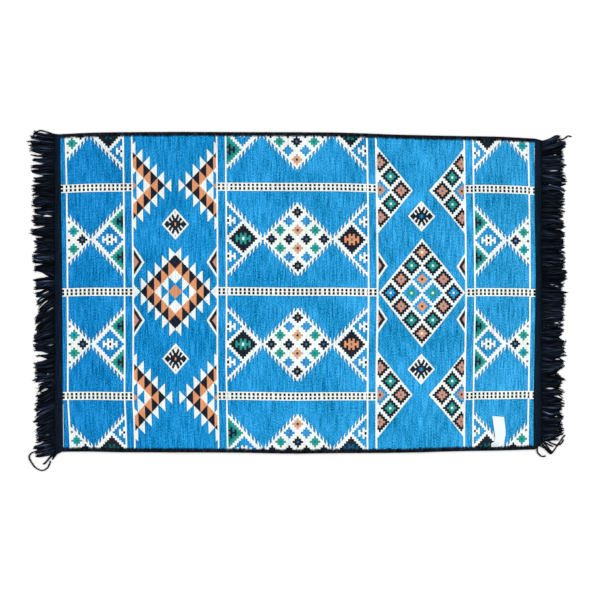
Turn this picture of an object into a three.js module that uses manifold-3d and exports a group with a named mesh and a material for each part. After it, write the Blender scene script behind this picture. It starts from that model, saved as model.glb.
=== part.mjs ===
// A flat-woven kilim rug of 80 x 120 cm, lying flat on the floor, in millimetres with +Z up.
// The length runs along X, the fringes are at -X and +X, and the floor is z = 0.
import * as THREE from "three";
import { mergeVertices } from "three/addons/utils/BufferGeometryUtils.js";
import Module from "manifold-3d";

const wasm = await Module();
wasm.setup();

// Driving dimensions
const GAP = 0.3; // between neighbouring pieces
const PANEL_THICKNESS = 2.4;
const HALF_WIDTH = 400; // nominal
const SERGING = { wrap: 1.2, reach: 9, round: 2 };
const TAPE = { thickness: 3, left: -616, right: 609 };
const STRAND = { rootWidth: 4.2, tipWidth: 1.8, rootHeight: 2.6, tipHeight: 1.8 };
const STRAND_PITCH = 5.6;
const STRAND_STEPS = 4;
const STRAND_BURIED = 4; // length of each strand inside its tape
const LOOSE_END = { width: 2.6, height: 2.2, stepsPerKnot: 3 };
const TIP_SPACING = 2.6; // least distance between neighbouring strand tips
const WAVE = { height: 0.9, turns: 1.3, phaseStep: 0.22 };
const REACH_UNEVENNESS = 3.2;
const COLUMN_SPACING = 48;
const EDGE_RISE = { flat: 10, ramp: 22 }; // how the panel climbs onto the serging under it

// The long edges, measured over the serging: y of the back and of the front edge at each x.
const LONG_EDGES = [
  { x: -597.5, back: 394.6, front: -398.2 },
  { x: -522.5, back: 398.2, front: -398.0 },
  { x: -447.5, back: 399.5, front: -399.5 },
  { x: -297.5, back: 400.2, front: -400.0 },
  { x: -147.5, back: 399.8, front: -400.8 },
  { x: -22.5, back: 399.5, front: -402.8 },
  { x: 102.5, back: 398.5, front: -401.8 },
  { x: 252.5, back: 393.2, front: -400.8 },
  { x: 402.5, back: 390.0, front: -396.8 },
  { x: 502.5, back: 388.2, front: -395.2 },
  { x: 590.0, back: 383.5, front: -392.5 },
];

// The woven ends: x of the left and of the right end, from the front edge (v = -1) to the back edge (v = 1).
const WOVEN_ENDS = [
  { v: -1, left: -591.3, right: 588.8 },
  { v: 0, left: -593.8, right: 591.0 },
  { v: 1, left: -598.0, right: 590.3 },
];

// The creases left by folding the rug in four: a ridge, or a valley between two low swells.
const CREASES = [
  { x: -302.5, height: 1.4, width: 14, valley: true },
  { x: -5.0, height: 1.8, width: 12, valley: false },
  { x: 297.5, height: 1.2, width: 24, valley: false },
];

// The outer edge of each heading tape: y of its back and front corner.
const TAPE_CORNERS = {
  left: { back: 396.0, front: -409.5 },
  right: { back: 378.5, front: -375.5 },
};

// The locks of each fringe, from back to front. A lock's strands leave the tape between the
// previous row's root and this one's, their tips spread from tipFrom to tipTo, and reach is how
// far they lie past the tape.
const LOCKS = {
  left: {
    firstRoot: 393.8,
    rows: [
      { root: 384.2, tipFrom: 398.2, tipTo: 391.8, reach: 48.8 },
      { root: 373.0, tipFrom: 389.8, tipTo: 381.2, reach: 53.8 },
      { root: 341.8, tipFrom: 375.5, tipTo: 353.0, reach: 56.8 },
      { root: 337.2, tipFrom: 344.2, tipTo: 341.0, reach: 55.0 },
      { root: 322.2, tipFrom: 334.2, tipTo: 325.5, reach: 52.5 },
      { root: 307.8, tipFrom: 317.8, tipTo: 309.2, reach: 53.8 },
      { root: 291.8, tipFrom: 305.5, tipTo: 296.0, reach: 53.2 },
      { root: 276.8, tipFrom: 286.8, tipTo: 273.0, reach: 48.8 },
      { root: 239.2, tipFrom: 269.2, tipTo: 241.8, reach: 50.8 },
      { root: 214.2, tipFrom: 239.2, tipTo: 213.0, reach: 50.8 },
      { root: 190.5, tipFrom: 209.2, tipTo: 196.8, reach: 47.5 },
      { root: 164.8, tipFrom: 193.0, tipTo: 169.2, reach: 51.2 },
      { root: 139.2, tipFrom: 159.2, tipTo: 141.8, reach: 52.5 },
      { root: 99.2, tipFrom: 136.8, tipTo: 99.2, reach: 45.0 },
      { root: 69.2, tipFrom: 95.5, tipTo: 74.2, reach: 52.5 },
      { root: 37.2, tipFrom: 68.0, tipTo: 53.0, reach: 46.2 },
      { root: 11.8, tipFrom: 34.2, tipTo: 4.2, reach: 45.0 },
      { root: 1.8, tipFrom: -0.8, tipTo: -15.8, reach: 45.0 },
      { root: -8.2, tipFrom: -20.8, tipTo: -35.8, reach: 41.2 },
      { root: -28.2, tipFrom: -39.5, tipTo: -53.2, reach: 36.2 },
      { root: -48.2, tipFrom: -63.2, tipTo: -82.0, reach: 46.2 },
      { root: -75.8, tipFrom: -87.0, tipTo: -102.0, reach: 41.2 },
      { root: -120.8, tipFrom: -107.0, tipTo: -127.8, reach: 47.5 },
      { root: -153.2, tipFrom: -130.8, tipTo: -148.2, reach: 46.2 },
      { root: -164.5, tipFrom: -157.2, tipTo: -163.2, reach: 43.0 },
      { root: -222.0, tipFrom: -175.2, tipTo: -225.8, reach: 46.2 },
      { root: -238.2, tipFrom: -229.5, tipTo: -252.0, reach: 38.8 },
      { root: -270.8, tipFrom: -257.0, tipTo: -290.8, reach: 41.2 },
      { root: -320.8, tipFrom: -293.2, tipTo: -338.2, reach: 43.8 },
      { root: -365.8, tipFrom: -340.8, tipTo: -377.0, reach: 41.2 },
      { root: -385.8, tipFrom: -384.5, tipTo: -394.5, reach: 47.5 },
      { root: -404.8, tipFrom: -400.8, tipTo: -413.2, reach: 43.8 },
    ],
  },
  right: {
    firstRoot: 376.0,
    rows: [
      { root: 364.2, tipFrom: 393.2, tipTo: 380.5, reach: 43.2 },
      { root: 349.2, tipFrom: 378.8, tipTo: 359.2, reach: 55.8 },
      { root: 329.2, tipFrom: 354.8, tipTo: 330.5, reach: 50.2 },
      { root: 289.2, tipFrom: 327.2, tipTo: 289.2, reach: 52.8 },
      { root: 269.2, tipFrom: 286.8, tipTo: 269.2, reach: 58.2 },
      { root: 216.8, tipFrom: 263.0, tipTo: 216.8, reach: 52.8 },
      { root: 184.2, tipFrom: 214.2, tipTo: 186.8, reach: 50.2 },
      { root: 159.2, tipFrom: 180.5, tipTo: 159.2, reach: 52.8 },
      { root: 139.2, tipFrom: 150.5, tipTo: 138.0, reach: 54.0 },
      { root: 104.2, tipFrom: 134.8, tipTo: 106.8, reach: 52.0 },
      { root: 59.2, tipFrom: 101.8, tipTo: 59.2, reach: 54.5 },
      { root: 24.2, tipFrom: 55.5, tipTo: 26.8, reach: 58.2 },
      { root: 6.8, tipFrom: 23.0, tipTo: 8.2, reach: 49.0 },
      { root: -35.8, tipFrom: 1.8, tipTo: -33.2, reach: 55.2 },
      { root: -75.2, tipFrom: -37.0, tipTo: -73.2, reach: 52.0 },
      { root: -110.8, tipFrom: -80.8, tipTo: -108.2, reach: 48.2 },
      { root: -135.8, tipFrom: -117.8, tipTo: -133.2, reach: 54.5 },
      { root: -163.2, tipFrom: -135.8, tipTo: -160.8, reach: 54.5 },
      { root: -202.2, tipFrom: -169.5, tipTo: -189.5, reach: 52.0 },
      { root: -239.2, tipFrom: -208.2, tipTo: -236.8, reach: 47.0 },
      { root: -258.2, tipFrom: -243.2, tipTo: -256.8, reach: 50.2 },
      { root: -295.8, tipFrom: -263.2, tipTo: -298.2, reach: 48.2 },
      { root: -333.2, tipFrom: -303.2, tipTo: -335.8, reach: 49.0 },
      { root: -360.8, tipFrom: -338.2, tipTo: -357.0, reach: 50.2 },
      { root: -370.8, tipFrom: -360.8, tipTo: -370.0, reach: 34.5 },
    ],
  },
};

// Yarn ends that have worked loose at the corners, each from inside its tape to its free end.
const LOOSE_ENDS = {
  left: [
    [
      [-612, -390.5],
      [-632, -393.5],
      [-655, -396.5],
      [-670, -402.5],
      [-676, -411],
      [-671.5, -423],
      [-662, -436],
      [-650, -444],
      [-638, -444.5],
      [-628.5, -437],
      [-622, -421.5],
    ],
    [
      [-612, -406],
      [-621, -411.5],
      [-630, -420.5],
      [-638, -430],
    ],
    [
      [-606, -402],
      [-611.5, -409],
      [-616.5, -416],
    ],
  ],
  right: [
    [
      [605, 369.5],
      [628, 376.5],
      [648, 380],
      [661, 383.5],
      [671, 390.5],
      [680, 388.5],
    ],
    [
      [594, -386],
      [594.5, -399],
      [600, -406.5],
      [607, -410.5],
      [615, -409],
    ],
    [
      [598, -382],
      [610, -388],
      [619, -396],
      [627.5, -403.5],
      [634.5, -397.5],
      [643, -384.5],
      [649.5, -375],
      [657, -364],
      [664, -357],
    ],
    [
      [604, -372],
      [617, -377.5],
      [627, -383],
      [634, -385.5],
    ],
  ],
};

// The care label: its free end lies towards the middle of the rug and curls up a little.
const LABEL = {
  thickness: 1,
  free: { fromX: 482.5, toX: 512.5, y: -311 },
  sewn: { fromX: 477.8, toX: 508, y: -384.5 },
  curl: 2.6,
  steps: 8,
};

// Value of a column of a table at a place between its rows, along a smooth curve through them.
function smoothColumn(rows, key, column, place) {
  const last = rows.length - 1;
  let i = 0;
  while (i < last - 1 && place > rows[i + 1][key]) i += 1;
  const here = rows[i];
  const next = rows[i + 1];
  const before = rows[Math.max(i - 1, 0)];
  const after = rows[Math.min(i + 2, last)];
  const span = next[key] - here[key];
  const t = THREE.MathUtils.clamp((place - here[key]) / span, 0, 1);
  const slopeHere = ((next[column] - before[column]) / (next[key] - before[key])) * span;
  const slopeNext = ((after[column] - here[column]) / (after[key] - here[key])) * span;
  const t2 = t * t;
  const t3 = t2 * t;
  return (
    (2 * t3 - 3 * t2 + 1) * here[column] +
    (t3 - 2 * t2 + t) * slopeHere +
    (3 * t2 - 2 * t3) * next[column] +
    (t3 - t2) * slopeNext
  );
}

// Outer edge of the rug at x: side 1 is the back edge and side -1 the front edge.
function longEdge(x, side) {
  return smoothColumn(LONG_EDGES, "x", side > 0 ? "back" : "front", x);
}

function wovenEnd(v, end) {
  return smoothColumn(WOVEN_ENDS, "v", end, v);
}

// How high the cloth is lifted off the floor at x by the fold creases.
function creaseLift(x) {
  let lift = 0;
  for (const { x: middle, height, width, valley } of CREASES) {
    const away = Math.abs(x - middle) - (valley ? width : 0);
    lift += height * Math.exp(-((away / width) ** 2));
  }
  return lift;
}

// How high the panel climbs near a long edge, where the serging is wrapped under it.
function edgeLift(distance) {
  const top = SERGING.wrap + GAP;
  const fall = THREE.MathUtils.clamp((distance - EDGE_RISE.flat) / EDGE_RISE.ramp, 0, 1);
  return top * (1 - fall);
}

// Places along the length, as shares of it, with more of them over each crease.
function lengthShares() {
  const from = wovenEnd(0, "left");
  const to = wovenEnd(0, "right");
  const count = Math.round((to - from) / COLUMN_SPACING);
  const places = [];
  for (let i = 0; i <= count; i += 1) places.push(from + ((to - from) * i) / count);
  for (const { x, width } of CREASES)
    for (const step of [-2.6, -1.7, -1, -0.5, 0, 0.5, 1, 1.7, 2.6]) places.push(x + step * width);
  places.sort((a, b) => a - b);
  const kept = places.filter((x, i) => i === 0 || x - places[i - 1] > 5);
  return kept.map((x) => (x - from) / (to - from));
}

// Places across the rug, as shares v from the front (-1) to the back (1), closer near its edges.
function widthShares() {
  const { flat, ramp } = EDGE_RISE;
  const nearEdge = [0, flat, flat + ramp / 2, flat + ramp].map((distance) => 1 - distance / HALF_WIDTH);
  return [...nearEdge.map((v) => -v), -0.45, 0, 0.45, ...nearEdge.toReversed()];
}

// A point of the cloth's plan: share runs along the length, v from the front (-1) to the back (1).
function planPoint(share, v, inset) {
  const x = THREE.MathUtils.lerp(wovenEnd(v, "left"), wovenEnd(v, "right"), share);
  const back = longEdge(x, 1) - inset;
  const front = longEdge(x, -1) + inset;
  return new THREE.Vector2(x, THREE.MathUtils.lerp(front, back, (v + 1) / 2));
}

// The faces that close an end of a loft whose section is folded in two, its points facing in pairs.
function foldedCap(section) {
  if (section.length === 3) return [[0, 1, 2]];
  const last = section.length - 1;
  const faces = [];
  for (let i = 0; i < (last - 1) / 2; i += 1) faces.push([i, i + 1, last - i - 1], [i, last - i - 1, last - i]);
  return faces;
}

// The faces that close an end of a loft whose section is any flat outline across X.
function flatCap(section) {
  const contour = section.map((p) => new THREE.Vector2(p.y, p.z));
  const faces = THREE.ShapeUtils.triangulateShape(contour, []);
  return THREE.ShapeUtils.isClockWise(contour) ? faces.map(([a, b, c]) => [a, c, b]) : faces;
}

// A closed solid through a row of sections that all have the same number of points.
function loft(sections, capFaces = foldedCap) {
  const size = sections[0].length;
  const last = (sections.length - 1) * size;
  const faces = [];
  for (let k = 0; k < sections.length - 1; k += 1)
    for (let i = 0; i < size; i += 1) {
      const a = k * size + i;
      const b = k * size + ((i + 1) % size);
      faces.push([a, b, b + size], [a, b + size, a + size]);
    }
  for (const [a, b, c] of capFaces(sections[0])) faces.push([a, c, b]);
  for (const [a, b, c] of capFaces(sections.at(-1))) faces.push([last + a, last + b, last + c]);
  const points = sections.flat();
  const turned = signedVolume(points, faces) < 0 ? faces.map(([a, b, c]) => [a, c, b]) : faces;
  const geometry = new THREE.BufferGeometry().setFromPoints(points);
  geometry.setIndex(turned.flat());
  return geometry;
}

function signedVolume(points, faces) {
  const cross = new THREE.Vector3();
  let sum = 0;
  for (const [a, b, c] of faces) sum += cross.crossVectors(points[b], points[c]).dot(points[a]);
  return sum / 6;
}

function toManifold(geometry) {
  const merged = mergeVertices(geometry, 1e-4);
  return new wasm.Manifold(
    new wasm.Mesh({
      numProp: 3,
      vertProperties: new Float32Array(merged.attributes.position.array),
      triVerts: new Uint32Array(merged.index.array),
    }),
  );
}

function fromManifold(solid) {
  const mesh = solid.getMesh();
  const geometry = new THREE.BufferGeometry();
  geometry.setAttribute("position", new THREE.BufferAttribute(mesh.vertProperties, 3));
  geometry.setIndex(new THREE.BufferAttribute(mesh.triVerts, 1));
  return geometry;
}

// The woven panel: one sheet, lifted by its creases and by the serging under its long edges.
function wovenPanel() {
  const inset = SERGING.wrap + GAP;
  const rows = widthShares();
  const sections = lengthShares().map((share) => {
    const under = rows.map((v) => {
      const { x, y } = planPoint(share, v, inset);
      return new THREE.Vector3(x, y, creaseLift(x) + edgeLift((1 - Math.abs(v)) * HALF_WIDTH));
    });
    const over = under.map((p) => p.clone().setZ(p.z + PANEL_THICKNESS));
    return [...under, ...over.toReversed()];
  });
  return loft(sections);
}

// The serging of one long edge: yarn wrapped round the edge, with the panel's edge inside it.
function serging(side) {
  const { wrap, reach, round } = SERGING;
  const inner = wrap + 2 * GAP + PANEL_THICKNESS;
  const top = inner + wrap;
  const profile = [
    { inward: reach, up: 0 },
    { inward: round, up: 0 },
    { inward: round * 0.3, up: round * 0.35 },
    { inward: 0, up: round },
    { inward: 0, up: top - round },
    { inward: round * 0.3, up: top - round * 0.35 },
    { inward: round, up: top },
    { inward: reach, up: top },
    { inward: reach, up: inner },
    { inward: wrap, up: inner },
    { inward: wrap, up: wrap },
    { inward: reach, up: wrap },
  ];
  const sections = lengthShares().map((share) => {
    const { x, y } = planPoint(share, side, 0);
    const lift = creaseLift(x);
    return profile.map(({ inward, up }) => new THREE.Vector3(x, y - side * inward, up + lift));
  });
  return loft(sections, flatCap);
}

// The heading tape at one end of the rug, a narrow strip just clear of the woven end.
function headingTape(end) {
  const out = end === "left" ? -1 : 1;
  const corners = TAPE_CORNERS[end];
  const share = end === "left" ? 0 : 1;
  const sections = widthShares().map((v) => {
    const inner = planPoint(share, v, 0);
    const innerX = inner.x + out * GAP;
    const outerY = THREE.MathUtils.lerp(corners.front, corners.back, (v + 1) / 2);
    return [
      new THREE.Vector3(innerX, inner.y, 0),
      new THREE.Vector3(TAPE[end], outerY, 0),
      new THREE.Vector3(TAPE[end], outerY, TAPE.thickness),
      new THREE.Vector3(innerX, inner.y, TAPE.thickness),
    ];
  });
  return loft(sections);
}

// A strand lying on the floor: a low three-sided yarn along its points, flat underneath.
function strandAlong(points, widthAt, heightAt) {
  const last = points.length - 1;
  const sections = points.map((point, i) => {
    const along = points[Math.min(i + 1, last)].clone().sub(points[Math.max(i - 1, 0)]);
    const across = new THREE.Vector2(-along.y, along.x).normalize().multiplyScalar(widthAt(i / last) / 2);
    return [
      new THREE.Vector3(point.x - across.x, point.y - across.y, 0),
      new THREE.Vector3(point.x + across.x, point.y + across.y, 0),
      new THREE.Vector3(point.x, point.y, heightAt(i / last)),
    ];
  });
  return loft(sections);
}

// The strands of one fringe: y of each root and tip, and how far the strand reaches.
function strandRows(end) {
  const { firstRoot, rows } = LOCKS[end];
  const strands = [];
  let from = firstRoot;
  for (const { root, tipFrom, tipTo, reach } of rows) {
    const count = Math.max(1, Math.round((from - root) / STRAND_PITCH));
    for (let i = 0; i < count; i += 1) {
      const share = (i + 0.5) / count;
      strands.push({
        root: THREE.MathUtils.lerp(from, root, share),
        tip: THREE.MathUtils.lerp(tipFrom, tipTo, share),
        reach: reach + REACH_UNEVENNESS * Math.sin(2.4 * strands.length + 1.7 * Math.sin(strands.length)),
      });
    }
    from = root;
  }
  for (let i = 1; i < strands.length; i += 1)
    strands[i].tip = Math.min(strands[i].tip, strands[i - 1].tip - TIP_SPACING);
  return strands;
}

// Centre line of a strand: it eases from its root to its tip with a low wave.
function strandPoints(strand, index, edgeX, out) {
  const points = [new THREE.Vector2(edgeX - out * STRAND_BURIED, strand.root)];
  for (let k = 0; k <= STRAND_STEPS; k += 1) {
    const t = k / STRAND_STEPS;
    const bend = t ** 1.25;
    const phase = 2 * Math.PI * WAVE.turns * t + WAVE.phaseStep * index;
    const wave = WAVE.height * Math.sin(Math.PI * t) * Math.sin(phase);
    points.push(
      new THREE.Vector2(
        edgeX + out * strand.reach * t,
        THREE.MathUtils.lerp(strand.root, strand.tip, bend) + wave,
      ),
    );
  }
  return points;
}

// Whether a strand's root is clear of the roots of the loose ends.
function clearOfLooseEnds(strand, end) {
  return LOOSE_ENDS[end].every(([[, y]]) => Math.abs(y - strand.root) > STRAND_PITCH * 0.75);
}

// One fringe: its heading tape, the strands rooted in it and its loose yarn ends, as one solid.
function fringe(end) {
  const out = end === "left" ? -1 : 1;
  const { rootWidth, tipWidth, rootHeight, tipHeight } = STRAND;
  const strands = strandRows(end)
    .filter((strand) => clearOfLooseEnds(strand, end))
    .map((strand, index) =>
      strandAlong(
        strandPoints(strand, index, TAPE[end], out),
        (t) => THREE.MathUtils.lerp(rootWidth, tipWidth, t),
        (t) => THREE.MathUtils.lerp(rootHeight, tipHeight, t),
      ),
    );
  const loose = LOOSE_ENDS[end].map((knots) => {
    const curve = new THREE.SplineCurve(knots.map(([x, y]) => new THREE.Vector2(x, y)));
    const points = curve.getPoints((knots.length - 1) * LOOSE_END.stepsPerKnot);
    return strandAlong(points, () => LOOSE_END.width, () => LOOSE_END.height);
  });
  let solid = toManifold(headingTape(end));
  for (const piece of [...strands, ...loose]) solid = solid.add(toManifold(piece));
  return fromManifold(solid);
}

// The bare care label: a narrow strip on the panel, sewn in at the front serging.
function careLabel() {
  const { free, sewn, thickness, curl, steps } = LABEL;
  const sections = [];
  for (let i = 0; i <= steps; i += 1) {
    const t = i / steps;
    const y = THREE.MathUtils.lerp(sewn.y, free.y, t);
    const distance = y - longEdge(sewn.fromX, -1) - SERGING.wrap - GAP;
    const rest = edgeLift(Math.max(distance - 2, 0)) + PANEL_THICKNESS + GAP;
    const under = rest + curl * Math.max(t - 0.45, 0) ** 1.5;
    const fromX = THREE.MathUtils.lerp(sewn.fromX, free.fromX, t);
    const toX = THREE.MathUtils.lerp(sewn.toX, free.toX, t);
    sections.push([
      new THREE.Vector3(fromX, y, under),
      new THREE.Vector3(toX, y, under),
      new THREE.Vector3(toX, y, under + thickness),
      new THREE.Vector3(fromX, y, under + thickness),
    ]);
  }
  return loft(sections);
}

const FLATWEAVE = new THREE.MeshStandardMaterial({ color: 0x1583c9, roughness: 0.92, metalness: 0 });
const EDGE_YARN = new THREE.MeshStandardMaterial({ color: 0x14151c, roughness: 0.85, metalness: 0 });
const FRINGE_YARN = new THREE.MeshStandardMaterial({ color: 0x0c0e14, roughness: 0.8, metalness: 0 });
const LABEL_CLOTH = new THREE.MeshStandardMaterial({ color: 0xf2f2f0, roughness: 0.55, metalness: 0 });

function piece(name, geometry, material) {
  const mesh = new THREE.Mesh(geometry, material.clone());
  mesh.name = name;
  return mesh;
}

const rug = new THREE.Group();
rug.name = "kilim_rug";
rug.add(piece("woven_panel", wovenPanel(), FLATWEAVE));
rug.add(piece("serging_back", serging(1), EDGE_YARN));
rug.add(piece("serging_front", serging(-1), EDGE_YARN));
rug.add(piece("fringe_left", fringe("left"), FRINGE_YARN));
rug.add(piece("fringe_right", fringe("right"), FRINGE_YARN));
rug.add(piece("care_label", careLabel(), LABEL_CLOTH));

// The origin is under the middle of the whole rug, fringes and loose ends included.
const reach = new THREE.Box3().setFromObject(rug);
const middle = reach.getCenter(new THREE.Vector3());
rug.position.set(-middle.x, -middle.y, 0);

export default rug;
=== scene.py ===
"""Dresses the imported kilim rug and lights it.

The rug is a woven cloth with a charted pattern, overcast long edges, a heading tape and a yarn fringe at
each end, and a bare care label. It lies flat on a plain pale floor and is seen from straight above.
"""

import logging
import math
from dataclasses import dataclass, field
from enum import Enum

import bpy
import numpy as np
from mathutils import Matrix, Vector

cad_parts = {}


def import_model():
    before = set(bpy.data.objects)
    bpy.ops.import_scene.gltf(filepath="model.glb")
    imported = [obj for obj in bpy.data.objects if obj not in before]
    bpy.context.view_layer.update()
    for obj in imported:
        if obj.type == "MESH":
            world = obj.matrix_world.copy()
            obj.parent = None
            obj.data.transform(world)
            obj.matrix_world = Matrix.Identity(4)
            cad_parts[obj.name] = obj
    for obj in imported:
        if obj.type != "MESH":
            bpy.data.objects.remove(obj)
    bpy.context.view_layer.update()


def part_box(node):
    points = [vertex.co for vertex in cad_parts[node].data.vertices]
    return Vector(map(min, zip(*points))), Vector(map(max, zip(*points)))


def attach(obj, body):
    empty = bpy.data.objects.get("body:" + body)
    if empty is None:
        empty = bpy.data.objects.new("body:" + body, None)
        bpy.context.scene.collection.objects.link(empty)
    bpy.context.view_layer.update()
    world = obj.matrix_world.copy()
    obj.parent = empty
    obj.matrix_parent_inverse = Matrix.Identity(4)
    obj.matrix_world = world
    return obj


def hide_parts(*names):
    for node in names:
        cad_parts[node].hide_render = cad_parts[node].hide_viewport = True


LOG = logging.getLogger("kilim_rug")
MM = 0.001
RIDGE_ROUNDNESS = 0.6
Faces = list[tuple[int, ...]]
Socket = bpy.types.NodeSocket
Array = np.ndarray
Bundle = tuple[Array, Array, Array]
Generator = np.random.Generator
FLOAT, VECTOR, COLOUR = "NodeSocketFloat", "NodeSocketVector", "NodeSocketColor"

PICKS_PER_CELL = 3
BEATS_PER_ROW = 6
ROWS = 142
BEATS = ROWS * BEATS_PER_ROW


class Yarn(Enum):
    """The dyed yarns of the cloth, each with its colour as seen in daylight, and one darker blue of painted
    shade.
    """

    AZURE = "1a88cb"
    # Not a dyed yarn: azure darkened as painted shade beside the cream, where the weft turns back at a
    # slit.
    SLIT_SHADE = "1674ae"
    CREAM = "ebf2ee"
    MILK = "eff6f6"
    NAVY = "1c232f"
    INK = "0c0f18"
    SALMON = "dd966a"
    PEACH = "ce9d7f"
    ROSE = "c5907c"
    GREEN = "2a958d"
    FERN = "0d7f80"
    PINE = "155a5c"
    TEAL = "0f567c"
    DUSK = "44638c"
    HAZE = "5585b2"
    LAGOON = "2498a0"
    MIST = "5c7382"
    TAUPE = "6f7370"
    MAUVE = "6a80bc"
    BLUSH = "dcb8aa"


YARNS = list(Yarn)
Cross = tuple[float, float, Yarn, Yarn]


class Side(Enum):
    """The two ends and the two long edges of the rug, with their direction along X or Y."""

    LEFT = -1
    RIGHT = 1
    FRONT = -2
    BACK = 2

    @property
    def out(self) -> int:
        """Direction in which this side faces, along its own axis."""
        return 1 if self.value > 0 else -1


def linear(code: str) -> tuple[float, float, float]:
    """Turns a six-digit colour code into linear light."""
    shares = (int(code[i : i + 2], 16) / 255 for i in (0, 2, 4))
    return tuple(s / 12.92 if s <= 0.04045 else ((s + 0.055) / 1.055) ** 2.4 for s in shares)


def smooth(keys: list[float], values: list[float], at: Array) -> Array:
    """Reads a table of measured values along a smooth curve through its rows.

    Args:
        keys: Places of the rows, in rising order.
        values: Value of each row.
        at: Places to read.

    Returns:
        The values at those places.
    """
    keys, values, at = np.asarray(keys, float), np.asarray(values, float), np.asarray(at, float)
    last = len(keys) - 1
    here = np.clip(np.searchsorted(keys, at, side="right") - 1, 0, last - 1)
    before, ahead, after = np.maximum(here - 1, 0), here + 1, np.minimum(here + 2, last)
    span = keys[ahead] - keys[here]
    t = np.clip((at - keys[here]) / span, 0, 1)
    leave = (values[ahead] - values[before]) / (keys[ahead] - keys[before]) * span
    arrive = (values[after] - values[here]) / (keys[after] - keys[here]) * span
    return (
        (2 * t**3 - 3 * t**2 + 1) * values[here]
        + (t**3 - 2 * t**2 + t) * leave
        + (3 * t**2 - 2 * t**3) * values[ahead]
        + (t**3 - t**2) * arrive
    )


def ease(t: Array) -> Array:
    """Starts and ends a rise from 0 to 1 gently."""
    return t * t * (3 - 2 * t)


@dataclass(frozen=True)
class Crease:
    """A soft crease across the rug, left by folding it in four, with painted light along it: painted shade
    in a valley, lighter on a ridge.
    """

    x: float
    height: float
    width: float
    valley: bool = False
    # How much the colour is darkened (painted shade) or lightened (painted light) along the crease, and
    # over what width.
    tone: float = 0.04
    painted_light: float = 4


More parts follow.
